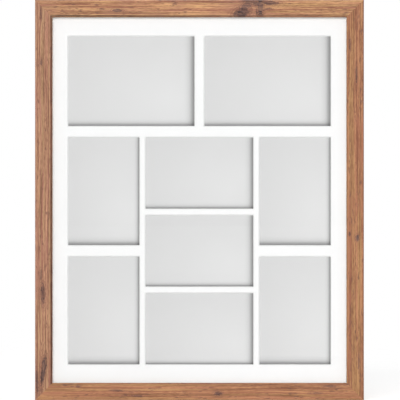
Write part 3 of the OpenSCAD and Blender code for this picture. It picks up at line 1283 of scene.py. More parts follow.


# Each stick's sight-edge values paint shade along its sight edge: strong on the left stile and the top rail,
# faint on the bottom rail, none on the right stile.
RAIL_TOP = StainedWood(
    name="rail_top",
    dark=tone(138, 91, 68), middle=tone(177, 128, 93), light=tone(215, 164, 114), flush=tone(164, 116, 94),
    seed=(0.31, 0.12, 0.44), sight_shade_run=(0.95, 0.25), sight_shade_tint=tone(50, 34, 28),
    knots=(
        Knot(14.3 * MM, -111 * MM, 1.9 * MM, 6.5 * MM, 0.9),
        Knot(12.6 * MM, -132 * MM, 1.2 * MM, 4 * MM, 0.6),
        Knot(17.5 * MM, 57 * MM, 6 * MM, 10 * MM, 0.95, 20.0),
        Knot(9 * MM, 64 * MM, 4.5 * MM, 9 * MM, 0.9, 50.0),
        Knot(2 * MM, 61 * MM, 2.6 * MM, 2.6 * MM, 0.6),
        Knot(4 * MM, 72 * MM, 3.8 * MM, 10 * MM, 0.7, -15.0),
        Knot(9 * MM, 82.5 * MM, 13 * MM, 3.6 * MM, 0.95),
        Knot(4.5 * MM, 96 * MM, 2.2 * MM, 11 * MM, 0.8),
        Knot(12 * MM, 92 * MM, 1.4 * MM, 6 * MM, 0.7),
        Knot(15 * MM, 77.5 * MM, 3.4 * MM, 1 * MM, 0.8),
    ),
)
RAIL_BOTTOM = StainedWood(
    name="rail_bottom",
    dark=tone(132, 87, 62), middle=tone(166, 115, 81), light=tone(192, 141, 98), flush=tone(170, 117, 86),
    seed=(0.77, 0.21, 0.19), sight_shade_run=(0.25, 0.1),
    knots=(
        Knot(19 * MM, 164 * MM, 1.2 * MM, 3 * MM, 0.7),
        Knot(13.3 * MM, 111.8 * MM, 1.1 * MM, 7 * MM, 0.75),
        Knot(6.1 * MM, 84 * MM, 1.1 * MM, 7 * MM, 0.7),
        Knot(9.3 * MM, -25 * MM, 3 * MM, 4.6 * MM, 0.95),
        Knot(19 * MM, -177 * MM, 1.6 * MM, 8 * MM, 0.55),
        Knot(9.7 * MM, -158 * MM, 1.1 * MM, 7 * MM, 0.6),
    ),
)
STILE_LEFT = StainedWood(
    name="stile_left",
    dark=tone(132, 91, 72), middle=tone(168, 123, 96), light=tone(193, 148, 113), flush=tone(173, 124, 103),
    seed=(0.15, 0.53, 0.91), sight_shade_run=(1.0, 0.8), sight_shade_tint=tone(72, 40, 30),
    # Painted highlight: a pale pinkish tint along this stile's outer edge.
    outer_light_and_shade_run=(0.35, 0.25), outer_light_and_shade_tint=tone(186, 132, 120),
    knots=(
        Knot(10.9 * MM, -127 * MM, 3.2 * MM, 12 * MM, 0.85),
        Knot(8 * MM, -101 * MM, 1.6 * MM, 7 * MM, 0.7),
        Knot(11.4 * MM, -231 * MM, 3 * MM, 18 * MM, 0.95, -8.0),
        Knot(3.2 * MM, -246 * MM, 2.2 * MM, 14 * MM, 0.8, 4.0),
        Knot(8.3 * MM, 187 * MM, 1.6 * MM, 4 * MM, 0.7),
        Knot(8 * MM, 255 * MM, 1.1 * MM, 9 * MM, 0.6),
    ),
)
STILE_RIGHT = StainedWood(
    name="stile_right",
    dark=tone(126, 82, 58), middle=tone(161, 112, 78), light=tone(187, 137, 95), flush=tone(166, 111, 83),
    # Painted shade: a dark tint along this stile's outer edge.
    seed=(0.62, 0.84, 0.37), sight_shade_run=(0.0, 0.0), outer_light_and_shade_run=(0.9, 0.5), outer_light_and_shade_tint=tone(124, 62, 40),
    knots=(
        Knot(10.1 * MM, -170 * MM, 1.2 * MM, 11 * MM, 0.75),
        Knot(8.9 * MM, 51 * MM, 2.4 * MM, 3.8 * MM, 1.0),
        Knot(19.2 * MM, 46 * MM, 1.3 * MM, 2.4 * MM, 0.7),
        Knot(19 * MM, -211 * MM, 1.3 * MM, 7 * MM, 0.6),
        Knot(6.8 * MM, 219 * MM, 1.1 * MM, 10 * MM, 0.6),
    ),
)


@dataclass
class Moulding:
    """Four mitred sticks with a rebate, a rounded sight edge and slots for the V nails."""

    width: float = 445 * MM
    height: float = 542 * MM
    face: float = 23.5 * MM
    depth: float = 20 * MM
    lip: float = 5 * MM
    rebate: float = 5.5 * MM
    sight_arris: tuple[float, int] = (1.8 * MM, 7)
    outer_arris: tuple[float, int] = (0.8 * MM, 4)
    back_arris: tuple[float, int] = (0.3 * MM, 2)
    mitre_ease: float = 0.12 * MM
    seam_turn: float = 0.3
    end_corners: int = 8
    wave: float = 0.14 * MM
    wave_width: float = 9 * MM
    wave_length: float = 45 * MM
    wave_seed: float = 100.0
    side_seed: float = 5.0
    side_fade: float = 3 * MM
    cut_every: float = 9 * MM
    back_cuts: tuple[float, ...] = (0.25, 0.5, 0.75)
    slot_rise: float = 1 * MM
    nail_skin: float = 0.01 * MM
    wall_reach: float = 0.1 * MM
    square_on: float = 0.5
    finishes: dict[Side, StainedWood] = field(
        default_factory=lambda: {
            Side.LEFT: STILE_LEFT, Side.TOP: RAIL_TOP, Side.RIGHT: STILE_RIGHT, Side.BOTTOM: RAIL_BOTTOM,
        }
    )

    @property
    def rebate_wall(self) -> float:
        """The distance from the outer face to the rebate's wall."""
        return self.face - self.rebate

    def half(self, side: Side) -> float:
        """Half the length of a side's stick."""
        return (self.height if side.upright else self.width) / 2

    def placing(self, side: Side) -> Matrix:
        """Puts a stick on its side. In its own place X runs in from its outer face and Z along it."""
        reach = (self.width if side.upright else self.height) / 2
        return Matrix.Rotation(math.radians(side.value), 4, "Y") @ Matrix.Translation((-reach, 0, 0))

    def planed(self, side: Side) -> Blank:
        """Runs the section out to a stick with rounded arrises.

        Args:
            side: The side.

        Returns:
            The stick in its own place, with square ends.
        """
        half, lip_back = self.half(side), self.lip - self.depth
        corners = (
            (0, -self.depth), (self.face, -self.depth), (self.face, lip_back),
            (self.rebate_wall, lip_back), (self.rebate_wall, 0), (0, 0),
        )
        blank = Blank()
        section = blank.face([(x, y, -half) for x, y in corners])
        blank.push([section], (0, 0, 2 * half))
        rounded = (
            (0, -self.depth, self.outer_arris),
            (self.face, -self.depth, self.sight_arris),
            (self.face, lip_back, self.back_arris),
            (self.rebate_wall, 0, self.back_arris),
            (0, 0, self.back_arris),
        )
        for x, y, rounding in rounded:
            arris = blank.edges(
                lambda edge, x=x, y=y: all(math.hypot(v.co.x - x, v.co.y - y) < TINY for v in edge.verts)
            )
            blank.ease(arris, *rounding)
        return blank

    def at_end(self, each: BMFace) -> bool:
        """Says whether a face is a mitre, with the whole section's corners."""
        return abs(each.normal.z) > self.square_on and len(each.verts) > self.end_corners

    def mitred(self, side: Side) -> Blank:
        """Cuts a planed stick to its mitres and gives its faces the unevenness of hand work.

        Args:
            side: The side.

        Returns:
            The stick in its own place.
        """
        half = self.half(side)
        blank = self.planed(side)
        cuts = int(2 * half / self.cut_every)
        for number in range(1, cuts):
            blank.cut((0, 0, -half + 2 * half * number / cuts), (0, 0, 1))
        for share in self.back_cuts:
            blank.cut((self.rebate_wall * share, 0, 0), (1, 0, 0))
        for end in (-1, 1):
            blank.cut((0, 0, end * half), (1, 0, end), drop=True)
            blank.close()
        seam = blank.edges(
            lambda edge: len(edge.link_faces) == 2
            and any(self.at_end(each) for each in edge.link_faces)
            and all(v.co.y < self.lip / 2 - self.depth for v in edge.verts)
            and edge.calc_face_angle() > self.seam_turn
        )
        blank.ease(seam, self.mitre_ease, 1)
        seed = Vector(self.finishes[side].seed) * self.wave_seed
        for vert in blank.shape.verts:
            x, y, z = vert.co
            fade = min(1.0, max(0.0, (half - abs(z) - x) / (2 * self.face)))
            front = min(1.0, max(0.0, (self.lip - self.depth - y) / (self.lip - self.sight_arris[0])))
            outer = max(0.0, 1 - x / self.side_fade)
            along = z / self.wave_length
            lean = noise.noise(Vector((x / self.wave_width, 0, along)) + seed)
            side_lean = noise.noise(Vector((y / self.wave_width, self.side_seed, along)) + seed)
            vert.co.y += self.wave * (0.5 + 0.5 * lean) * fade * front
            vert.co.x += self.wave * (0.5 + 0.5 * side_lean) * fade * outer
        return blank

    def slots(self, nails: Object) -> Object:
        """Shapes a cutter like a corner's V nails, taken up past the back.

        Args:
            nails: The corner's V nails.

        Returns:
            The cutter.
        """
        shape = bmesh.new()
        shape.from_mesh(nails.data)
        bmesh.ops.remove_doubles(shape, verts=shape.verts, dist=TINY)
        top = max(vert.co.y for vert in shape.verts)
        for vert in shape.verts:
            if vert.co.y > top - self.nail_skin:
                vert.co.y = self.slot_rise
        mesh = bpy.data.meshes.new(f"{nails.name}_slots")
        shape.to_mesh(mesh)
        shape.free()
        cutter = bpy.data.objects.new(mesh.name, mesh)
        bpy.context.scene.collection.objects.link(cutter)
        return cutter

    def bare(self, centre: Vector, normal: Vector) -> bool:
        """Says whether a face of a stick is left without stain.

        Args:
            centre: Its centre, in the stick's own place.
            normal: The way it faces, in the stick's own place.

        Returns:
            True for the back, the rebate, the slots and the mitres.
        """
        on_back = normal.y > self.square_on
        in_rebate = normal.x > self.square_on and centre.x < self.rebate_wall + self.wall_reach
        on_mitre = abs(normal.z) > self.square_on
        return on_back or in_rebate or on_mitre

    def build(self, nodes: dict[str, Object], steel: Material) -> None:
        """Builds the four sticks and dresses the V nails.

        Args:
            nodes: The frame's nodes, by name.
            steel: The V nails' finish.
        """
        nails = [node for name, node in nodes.items() if name.startswith("v_nails")]
        cutters = {node.name: self.slots(node) for node in nails}
        for side in Side:
            placing, finish = self.placing(side), self.finishes[side]
            blank = self.mitred(side)
            blank.place(placing)
            stained = finish.stained(placing, self.half(side), self.face)
            piece = blank.made(f"{side.stick}_wood", [stained, finish.raw(placing)])
            near = [cutter for name, cutter in cutters.items() if side.name.lower() in name]
            carve(piece, near)
            inverse = placing.inverted()
            for polygon in piece.data.polygons:
                centre = inverse @ polygon.center
                normal = inverse.to_3x3() @ polygon.normal
                polygon.material_index = int(self.bare(centre, normal))
            soften(piece)
            settle(piece, "frame", side.stick)
        for cutter in cutters.values():
            bpy.data.objects.remove(cutter)
        for node in nails:
            for slot in node.material_slots:
                slot.material = steel


@dataclass(frozen=True)
class Window:
    """One opening, as its middle and its size at the mat's back, and the print behind it."""

    name: str
    x: float
    z: float
    width: float
    height: float
    print_size: tuple[float, float]

    def holds(self, point: Vector, more: float) -> bool:
        """Says whether a point lies in the opening, or no more than so far outside it."""
        beside, above = abs(point.x - self.x), abs(point.z - self.z)
        return beside < self.width / 2 + more and above < self.height / 2 + more


@dataclass
class Sheets:
    """The flat sheets in the rebate: glass, mat, nine prints and the backing board."""

    width: float = 406 * MM
    height: float = 503 * MM
    glass: tuple[float, float] = (-14.7 * MM, -12.7 * MM)
    mat: tuple[float, float] = (-12.4 * MM, -11.0 * MM)
    card: tuple[float, float] = (-10.7 * MM, -10.4 * MM)
    board: tuple[float, float] = (-10.1 * MM, -7.1 * MM)
    small: tuple[float, float] = (146 * MM, 96.5 * MM)
    large: tuple[float, float] = (171 * MM, 121.5 * MM)
    small_print: tuple[float, float] = (152.4 * MM, 101.6 * MM)
    large_print: tuple[float, float] = (177.8 * MM, 127 * MM)
    column_gap: float = 8.25 * MM
    row_gap: float = 15.5 * MM
    block_drop: float = 0.45 * MM
    seam: float = 0.4 * MM
    mat_ease: float = 0.1 * MM
    print_corner: tuple[float, int] = (0.6 * MM, 4)
    board_ease: float = 0.3 * MM
    glass_flat: float = 0.99
    card_flat: float = 0.9
    bevel_turn: float = 30.0

    def windows(self) -> list[Window]:
        """Lays out the nine openings, two large ones over two columns of two and one of three.

        Returns:
            The windows.
        """
        long, short = self.small
        wide, high = self.large
        block = 2 * short + long + 2 * self.column_gap
        tall = high + 2 * long + 2 * self.row_gap
        top = tall / 2 - self.block_drop
        small_top = top - high - self.row_gap
        pitch = (2 * long + self.row_gap - short) / 2
        upright_print = self.small_print[::-1]
        found = []
        for name, sign in (("left", -1), ("right", 1)):
            x = sign * (block - wide) / 2
            found.append(Window(f"top_{name}", x, top - high / 2, wide, high, self.large_print))
            x = sign * (block - short) / 2
            for row, level in (("upper", 0), ("lower", 1)):
                z = small_top - long / 2 - level * (long + self.row_gap)
                found.append(Window(f"{name}_{row}", x, z, short, long, upright_print))
        for level, row in enumerate(("upper", "middle", "lower")):
            z = small_top - short / 2 - level * pitch
            found.append(Window(f"centre_{row}", 0.0, z, long, short, self.small_print))
        return found

    def corners(self, levels: tuple[float, float]) -> tuple[Vector, Vector]:
        """The lowest and highest corner of a full sheet between two depths."""
        half = Vector((self.width / 2, 0, self.height / 2))
        return Vector((0, levels[0], 0)) - half, Vector((0, levels[1], 0)) + half

    def build_glass(self, finish: ClearGlass) -> Object:
        """Builds the glass, with its edges ground.

        Args:
            finish: The glass's finish.

        Returns:
            The pane.
        """
        blank = Blank()
        blank.box(*self.corners(self.glass))
        blank.ease(blank.edges(lambda edge: True), self.seam, 2)
        pane = blank.made("glass_pane", [finish.pane(), finish.edge()], by_flatness(self.glass_flat))
        settle(pane, "glazing", "glazing")
        return pane

    def build_mat(self, finish: MatCard) -> None:
        """Builds the mat: a sheet with nine openings, whose sides slope to the back at 45 degrees.

        Args:
            finish: The mat's finish.
        """
        low, high = self.corners(self.mat)
        thick = high.y - low.y
        blank = Blank()
        corners = ((low.x, low.z), (high.x, low.z), (high.x, high.z), (low.x, high.z))
        blank.face([(x, low.y, z) for x, z in corners])
        windows = self.windows()
        for window in windows:
            for sign in (-1, 1):
                blank.cut((window.x + sign * (window.width / 2 + thick), 0, 0), (1, 0, 0))
                blank.cut((0, 0, window.z + sign * (window.height / 2 + thick)), (0, 0, 1))

        waste = [
            each for each in blank.shape.faces
            if any(window.holds(each.calc_center_median(), thick) for window in windows)
        ]
        bmesh.ops.delete(blank.shape, geom=waste, context="FACES")
        blank.push(list(blank.shape.faces), (0, thick, 0))
        for window in windows:
            foot = [
                vert for vert in blank.shape.verts
                if vert.co.y > low.y + thick / 2 and window.holds(vert.co, thick + TINY)
            ]
            across = window.width / (window.width + 2 * thick)
            up = window.height / (window.height + 2 * thick)
            centre = Matrix.Translation((window.x, 0, window.z))
            blank.place(centre @ Matrix.Diagonal((across, 1.0, up, 1.0)) @ centre.inverted(), foot)
        blank.face_outwards()
        sharp = blank.sharp(self.bevel_turn)
        lips = [edge for edge in sharp if all(vert.co.y < low.y + TINY for vert in edge.verts)]
        blank.ease(lips, self.mat_ease, 2)
        mat = blank.made("mat", [finish.sheet(), finish.bevel()], by_flatness(self.card_flat))
        settle(mat, "mat", "mat_board")

    def build_prints(self, finish: PhotoPaper) -> None:
        """Builds the nine prints, each with a UV map over its window.

        Args:
            finish: The prints' finish.
        """
        face, back = finish.printed(), finish.stock()
        for window in self.windows():
            half_x, half_z = (size / 2 for size in window.print_size)
            blank = Blank()
            corners = ((-1, -1), (1, -1), (1, 1), (-1, 1))
            blank.face([(window.x + a * half_x, self.card[0], window.z + b * half_z) for a, b in corners])
            blank.round_corners(blank.shape.verts, *self.print_corner)
            blank.push(list(blank.shape.faces), (0, self.card[1] - self.card[0], 0))
            map_layer = blank.shape.loops.layers.uv.new("window")
            for each in blank.shape.faces:
                for loop in each.loops:
                    across = (loop.vert.co.x - window.x) / window.width + 0.5
                    up = (loop.vert.co.z - window.z) / window.height + 0.5
                    loop[map_layer].uv = (across, up)
            name = f"print_{window.name}"
            piece = blank.made(name, [face, back], lambda each: int(each.normal.y > -self.card_flat))
            settle(piece, "photo_cards", f"photo_card_{window.name}")

    def build_board(self, finish: Hardboard) -> None:
        """Builds the backing board.

        Args:
            finish: The board's finish.
        """
        blank = Blank()
        blank.box(*self.corners(self.board))
        blank.ease(blank.edges(lambda edge: True), self.board_ease, 2)
        finishes = [finish.face(), finish.edge()]
        board = blank.made("backing_hardboard", finishes, by_flatness(self.card_flat))
        settle(board, "backing", "backing_board")


@dataclass
class FlexTabs:
    """The bending tabs: each one steel strip, pressed into the rebate wall and laid over the board."""

    moulding: Moulding
    width: float = 8 * MM
    thick: float = 0.5 * MM
    root: float = 6 * MM
    reach: float = 10 * MM
    tip_corner: tuple[float, int] = (1 * MM, 6)
    near: float = -6.8 * MM
    bend: float = 0.6 * MM
    bend_half: float = 0.5 * MM
    bend_cuts: int = 10
    edge_ease: float = 0.08 * MM
    long_side: tuple[int, float] = (4, 120 * MM)
    short_side: tuple[int, float] = (3, 125 * MM)

    def strip(self, name: str, side: Side, along: float, steel: Material) -> Object:
        """Builds one tab with enough cuts about its bend line.

        Args:
            name: The piece's name.
            side: The side it is on.
            along: Its place along the stick.
            steel: Its finish.

        Returns:
            The piece.
        """
        wall = self.moulding.rebate_wall
        start, tip = wall - self.root, wall + self.reach
        blank = Blank()
        corners = ((start, -1), (tip, -1), (tip, 1), (start, 1))
        blank.face([(x, self.near, along + sign * self.width / 2) for x, sign in corners])
        ends = [vert for vert in blank.shape.verts if vert.co.x > tip - TINY]
        blank.round_corners(ends, *self.tip_corner)
        line = wall + self.bend
        for number in range(self.bend_cuts + 1):
            blank.cut((line + self.bend_half * (2 * number / self.bend_cuts - 1), 0, 0), (1, 0, 0))
        blank.push(list(blank.shape.faces), (0, self.thick, 0))
        blank.face_outwards()
        blank.ease(blank.sharp(), self.edge_ease, 2)
        blank.place(self.moulding.placing(side))
        return blank.made(name, [steel])

    def build(self, steel: Material) -> None:
        """Builds all the tabs, each a strip with cuts about its bend line, in place of its node.

        Args:
            steel: Their finish.
        """
        for side in Side:
            count, pitch = self.long_side if side.upright else self.short_side
            sign = -1 if side in (Side.LEFT, Side.BOTTOM) else 1
            placing = self.moulding.placing(side)
            for number in range(1, count + 1):
                along = sign * (number - (count + 1) / 2) * pitch
                node = f"tab_{side.name.lower()}_{number}"
                piece = self.strip(f"{node}_strip", side, along, steel)
                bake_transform(piece)
                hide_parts(node, f"tab_shanks_{side.name.lower()}")
                report(piece, f"frame and {node}")


@dataclass
class DRingHangers:
    """Two hangers: a strap folded round a D ring's bar, held by one screw."""

    moulding: Moulding
    height: float = 100 * MM
    width: float = 9 * MM
    sheet: float = 0.8 * MM
    length: float = 24 * MM
    eye_y: float = 1.97 * MM
    eye_turn: float = 232.0
    eye_steps: int = 20
    fold: float = 1.2 * MM
    fold_steps: int = 6
    end_flat: float = 0.01 * MM
    end_steps: int = 12
    ease: float = 0.12 * MM
    wire: float = 1.1 * MM
    wire_sides: int = 20
    half_width: float = 7.4 * MM
    corner: float = 2.2 * MM
    corner_steps: int = 8
    arm: float = 5 * MM
    bow_steps: int = 32
    lean: float = 5.0
    screw_drop: float = 20.5 * MM
    screw_length: float = 12 * MM
    shank: float = 1.75 * MM
    point: float = 3 * MM
    tip: float = 0.2 * MM
    head: float = 3.4 * MM
    head_rise: float = 2 * MM
    dome: float = 6 * MM
    dome_rings: tuple[float, ...] = (0.8, 0.6, 0.4, 0.2, 0.0)
    screw_sides: int = 40
    rim_turn: float = 40.0
    slot_width: float = 0.9 * MM
    slot_length: float = 3.8 * MM
    slot_depth: float = 1.1 * MM
    slot_start: float = 0.5 * MM
    slot_taper: float = 0.72

    def hinge(self, sign: int) -> Vector:
        """The middle of a ring's bar, on the left for -1 and on the right for 1."""
        reach = (self.moulding.width - self.moulding.rebate_wall) / 2
        return Vector((sign * reach, self.eye_y, self.height))

    def draw(self, blank: Blank, edges: list[BMEdge], by: Sequence[float]) -> list[BMEdge]:
        """Draws edges out into a strip.

        Args:
            blank: The shape on the bench.
            edges: The edges.
            by: How far they move.

        Returns:
            The edges at their new place.
        """
        drawn = bmesh.ops.extrude_edge_only(blank.shape, edges=edges)["geom"]
        moved = [item for item in drawn if isinstance(item, BMVert)]
        bmesh.ops.translate(blank.shape, verts=moved, vec=by)
        return [
            item for item in drawn
            if isinstance(item, BMEdge) and all(vert in moved for vert in item.verts)
        ]

    def swing(
        self, blank: Blank, edges: list[BMEdge], about: Vector, axis: Vector, degrees: float, steps: int
    ) -> list[BMEdge]:
        """Spins edges about an axis and leaves a surface behind them.

        Args:
            blank: The shape on the bench.
            edges: The edges.
            about: A point on the axis.
            axis: The axis.
            degrees: How far they turn.
            steps: How many faces the turn has.

        Returns:
            The edges at the end of the turn.
        """
        last = bmesh.ops.spin(
            blank.shape, geom=edges, cent=about, axis=axis, angle=math.radians(degrees), steps=steps,
        )["geom_last"]
        return [item for item in last if isinstance(item, BMEdge)]

    def strap(self, name: str, sign: int, plate: Material) -> Object:
        """Builds a strap from one strip: up the stile, round the eye and down over itself.

        Args:
            name: The piece's name.
            sign: The side it is on.
            plate: Its finish.

        Returns:
            The piece.
        """
        blank = Blank()
        foot = -self.length - self.width / 2
        upper = 2 * self.sheet
        ends = [blank.shape.verts.new((side * self.width / 2, 0, foot)) for side in (-1, 1)]
        run = [blank.shape.edges.new(ends)]
        run = self.draw(blank, run, (0, 0, self.width / 2))
        run = self.draw(blank, run, (0, 0, self.length))
        eye = Vector((0, self.eye_y, 0))
        sideways = Vector((1, 0, 0))
        run = self.swing(blank, run, eye, sideways, -self.eye_turn, self.eye_steps)
        lean = math.radians(self.eye_turn - 180)
        heading = Vector((0, -math.sin(lean), -math.cos(lean)))
        here = run[0].verts[0].co.copy()
        drop = self.fold * math.tan(lean / 2)
        travel = (here.y - upper) / math.sin(lean) - drop
        run = self.draw(blank, run, heading * travel)
        here = run[0].verts[0].co.copy()
        middle = Vector((0, here.y, here.z)) + Vector((0, math.cos(lean), -math.sin(lean))) * self.fold
        run = self.swing(blank, run, middle, sideways, math.degrees(lean), self.fold_steps)
        here = run[0].verts[0].co.copy()
        run = self.draw(blank, run, (0, 0, -self.length - here.z))
        self.draw(blank, run, (0, 0, -self.width / 2))
        tips = [vert for vert in blank.shape.verts if vert.co.z < foot + TINY]
        blank.round_corners(tips, self.width / 2 - self.end_flat, self.end_steps)
        blank.face_outwards()
        bmesh.ops.solidify(blank.shape, geom=list(blank.shape.faces), thickness=self.sheet)
        blank.ease(blank.sharp(), self.ease, 2)
        hinge = self.hinge(sign)
        blank.move((hinge.x, 0, hinge.z))
        return blank.made(name, [plate])

    def ring(self, name: str, sign: int, plate: Material) -> Object:
        """Builds the D of wire, from its bar round both corners and the bow.

        Args:
            name: The piece's name.
            sign: The side it is on.
            plate: Its finish.

        Returns:
            The piece.
        """
        blank = Blank()
        bar = self.half_width - self.corner
        upright = Matrix.Translation((-bar, 0, 0)) @ Matrix.Rotation(math.pi / 2, 4, "Y")
        bmesh.ops.create_circle(blank.shape, segments=self.wire_sides, radius=self.wire, matrix=upright)
        run = list(blank.shape.edges)
        outwards = Vector((0, 1, 0))
        run = self.draw(blank, run, (2 * bar, 0, 0))
        run = self.swing(blank, run, Vector((bar, 0, -self.corner)), outwards, 90, self.corner_steps)
        run = self.draw(blank, run, (0, 0, self.corner - self.arm))
        run = self.swing(blank, run, Vector((0, 0, -self.arm)), outwards, 180, self.bow_steps)
        run = self.draw(blank, run, (0, 0, self.arm - self.corner))
        self.swing(blank, run, Vector((-bar, 0, -self.corner)), outwards, 90, self.corner_steps)
        blank.place(Matrix.Translation(self.hinge(sign)) @ Matrix.Rotation(math.radians(self.lean), 4, "X"))
        return blank.made(name, [plate])

    def screw(self, name: str, sign: int, plate: Material) -> Object:
        """Builds a pan head screw with a cross recess.

        Args:
            name: The piece's name.
            sign: The side it is on.
            plate: Its finish.

        Returns:
            The piece.
        """
        seat = 2 * self.sheet
        crown = seat + self.head_rise
        rim = crown - self.dome + math.sqrt(self.dome**2 - self.head**2)
        outline = [
            (0.0, -self.screw_length), (self.tip, -self.screw_length),
            (self.shank, self.point - self.screw_length), (self.shank, seat),
            (self.head, seat), (self.head, rim),
        ]
        for share in self.dome_rings:
            radius = self.head * share
            outline.append((radius, crown - self.dome + math.sqrt(self.dome**2 - radius**2)))
        blank = Blank()
        corners = [blank.shape.verts.new((radius, level, 0)) for radius, level in outline]
        edges = [blank.shape.edges.new(pair) for pair in zip(corners, corners[1:])]
        bmesh.ops.spin(
            blank.shape, geom=corners + edges, cent=(0, 0, 0), axis=(0, 1, 0),
            angle=2 * math.pi, steps=self.screw_sides, use_merge=True,
        )
        blank.weld()
        blank.face_outwards()
        sharp = blank.sharp(self.rim_turn)
        rims = [edge for edge in sharp if all(vert.co.y > seat - TINY for vert in edge.verts)]
        blank.ease(rims, self.ease, 2)
        hinge = self.hinge(sign)
        spot = Vector((hinge.x, 0, hinge.z - self.screw_drop))
        blank.move(spot)
        piece = blank.made(name, [plate])
        cutter = self.recess(spot + Vector((0, crown, 0)))
        carve(piece, [cutter])
        bpy.data.objects.remove(cutter)
        soften(piece)
        return piece

    def recess(self, crown: Vector) -> Object:
        """Shapes the cutter of the cross recess, narrower at its bottom.

        Args:
            crown: The top of the screw's head.

        Returns:
            The cutter.
        """
        blank = Blank()
        arm, half = self.slot_length / 2, self.slot_width / 2
        ring = [(arm, -half), (arm, half), (half, half), (half, arm), (-half, arm), (-half, half)]
        outline = ring + [(-x, -z) for x, z in ring]
        top = blank.face([(x, self.slot_start, z) for x, z in outline])
        blank.push([top], (0, -self.slot_start - self.slot_depth, 0))
        deep = [vert for vert in blank.shape.verts if vert.co.y < 0]
        bmesh.ops.scale(blank.shape, verts=deep, vec=(self.slot_taper, 1.0, self.slot_taper))
        blank.move(crown)
        return blank.made("cross_recess", [])

    def build(self, plate: Material) -> None:
        """Builds both hangers.

        Args:
            plate: Their finish.
        """
        for hand, sign in (("left", -1), ("right", 1)):
            strap = self.strap(f"strap_{hand}", sign, plate)
            screw = self.screw(f"screw_{hand}", sign, plate)
            ring = self.ring(f"d_ring_{hand}", sign, plate)
            settle(strap, "frame", f"hanger_strap_{hand}")
            settle(screw, "frame", f"hanger_screw_{hand}")
            settle(ring, f"ring_{hand}", f"hanger_ring_{hand}")


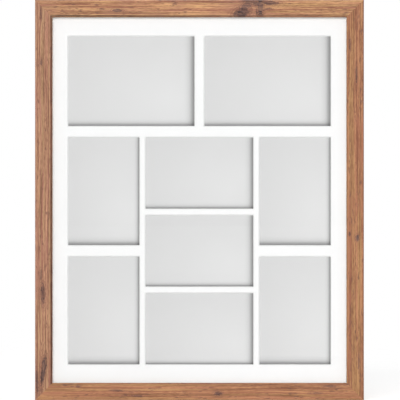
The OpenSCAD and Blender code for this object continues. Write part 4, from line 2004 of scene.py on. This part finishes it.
@dataclass
class Studio:
    """A pale floor, a bright room and soft light from the upper left."""

    white: Colour = (1.0, 1.0, 1.0, 1.0)
    floor_level: float = -271 * MM
    floor_half: float = 40.0
    floor_tone: Colour = (0.88, 0.88, 0.88, 1.0)
    floor_bounce: Colour = (0.5, 0.5, 0.5, 1.0)
    floor_rough: float = 0.9
    floor_lift: float = 0.4
    floor_glow: float = 0.3
    floor_fade: tuple[float, float] = (0.7, 2.2)
    room: float = 0.36
    shine: float = 0.6
    key_strength: float = 1.9
    key_from: tuple[float, float, float] = (-0.1, -1.0, 0.3)
    rear_strength: float = 1.1
    rear_from: tuple[float, float, float] = (0.35, 1.0, 0.75)
    softness: float = 28.0
    sensor: float = 36.0
    sight: float = 200.0
    camera_distance: float = 6.0
    picture_width: float = 541.2 * MM
    camera_offset: tuple[float, float] = (0.74 * MM, 0.07 * MM)
    front: float = -20 * MM

    def build_floor(self) -> None:
        """Lays a floor that looks white where nothing shades it."""
        blank = Blank()
        size = self.floor_half
        blank.face([(x * size, y * size, self.floor_level) for x, y in ((-1, -1), (1, -1), (1, 1), (-1, 1))])
        mesh = bpy.data.meshes.new("floor")
        blank.shape.to_mesh(mesh)
        blank.shape.free()
        material, board, shader = blank_material("pale_floor")
        shader.inputs["Roughness"].default_value = self.floor_rough
        shader.inputs["Specular IOR Level"].default_value = 0.0
        path = board.add("ShaderNodeLightPath").outputs
        bounced = path["Is Diffuse Ray"]
        board.feed(shader.inputs["Base Color"], board.mix(bounced, self.floor_tone, self.floor_bounce))
        seen = board.maths("MAXIMUM", path["Is Camera Ray"], path["Is Transmission Ray"])
        shader.inputs["Emission Color"].default_value = self.white
        glow = board.maths("MULTIPLY", bounced, self.floor_glow)
        glow = board.maths("MULTIPLY_ADD", seen, self.floor_lift, glow)
        board.feed(shader.inputs["Emission Strength"], glow)
        level = board.vectors("MULTIPLY", board.here(), (1.0, 1.0, 0.0)).outputs["Vector"]
        away = board.vectors("LENGTH", level).outputs["Value"]
        below = board.add("ShaderNodeNewGeometry").outputs["Backfacing"]
        gone = board.maths("MAXIMUM", board.step(away, *self.floor_fade), below)
        board.clear_where(board.maths("MULTIPLY", gone, seen), shader)
        mesh.materials.append(material)
        floor = bpy.data.objects.new("floor", mesh)
        bpy.context.scene.collection.objects.link(floor)

    def build_room(self) -> None:
        """Fills the room with even light, and shows it white to the eye and in reflections."""
        world = bpy.data.worlds.new("studio")
        world.use_nodes = True
        bpy.context.scene.world = world
        board = Board(world.node_tree)
        seen = world.node_tree.nodes["Background"]
        seen.inputs["Color"].default_value = self.white
        path = board.add("ShaderNodeLightPath").outputs
        share = board.maths("MAXIMUM", path["Is Camera Ray"], path["Is Transmission Ray"])
        glossy = board.spread(path["Is Glossy Ray"], 0.0, 1.0, self.room, self.shine)
        board.feed(seen.inputs["Strength"], board.maths("MAXIMUM", share, glossy))

    def lamp(self, name: str, source: Vector, strength: float) -> None:
        """Sets up a broad, even light from one side.

        Args:
            name: The lamp's name.
            source: The way to the lamp from the frame.
            strength: Its strength.
        """
        light = bpy.data.lights.new(name, "SUN")
        light.angle = math.radians(self.softness)
        light.energy = strength
        holder = bpy.data.objects.new(name, light)
        holder.rotation_euler = (-source).to_track_quat("-Z", "Y").to_euler()
        bpy.context.scene.collection.objects.link(holder)

    def keep_out_of(self, glass: Object) -> None:
        """Keeps the key lamp's disc out of the glass, which would mirror it as a hard round spot.

        Args:
            glass: The pane.
        """
        spared = bpy.data.collections.new("not lit by the key")
        spared.objects.link(glass)
        spared.collection_objects[0].light_linking.link_state = "EXCLUDE"
        bpy.data.objects["key"].light_linking.receiver_collection = spared

    def build_camera(self) -> None:
        """Sets the camera square to the frame, far enough off to keep its sides out of sight."""
        camera = bpy.data.cameras.new("camera")
        camera.type = "PERSP"
        camera.sensor_width = self.sensor
        camera.lens = camera.sensor_width * self.camera_distance / self.picture_width
        camera.clip_end = self.sight
        holder = bpy.data.objects.new("camera", camera)
        x, z = self.camera_offset
        holder.location = (x, self.front - self.camera_distance, z)
        holder.rotation_euler = (math.pi / 2, 0, 0)
        bpy.context.scene.collection.objects.link(holder)
        bpy.context.scene.camera = holder

    def build(self) -> None:
        """Sets up the whole studio."""
        bpy.context.scene.view_settings.view_transform = "Standard"
        self.build_floor()
        self.build_room()
        self.lamp("key", Vector(self.key_from), self.key_strength)
        self.lamp("rear_fill", Vector(self.rear_from), self.rear_strength)
        self.build_camera()


def main() -> None:
    """Builds the studio and every sub-assembly in order."""
    logging.basicConfig(level=logging.INFO, format="%(message)s", force=True)
    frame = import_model()
    studio = Studio()
    studio.build()
    steel = TAB_STEEL.material()
    plate = HANGER_PLATE.material()
    moulding = Moulding()
    moulding.build(frame["nodes"], steel)
    sheets = Sheets()
    studio.keep_out_of(sheets.build_glass(ClearGlass()))
    sheets.build_mat(MatCard())
    sheets.build_prints(PhotoPaper())
    sheets.build_board(Hardboard())
    FlexTabs(moulding).build(steel)
    DRingHangers(moulding).build(plate)


if __name__ == "__main__":
    main()
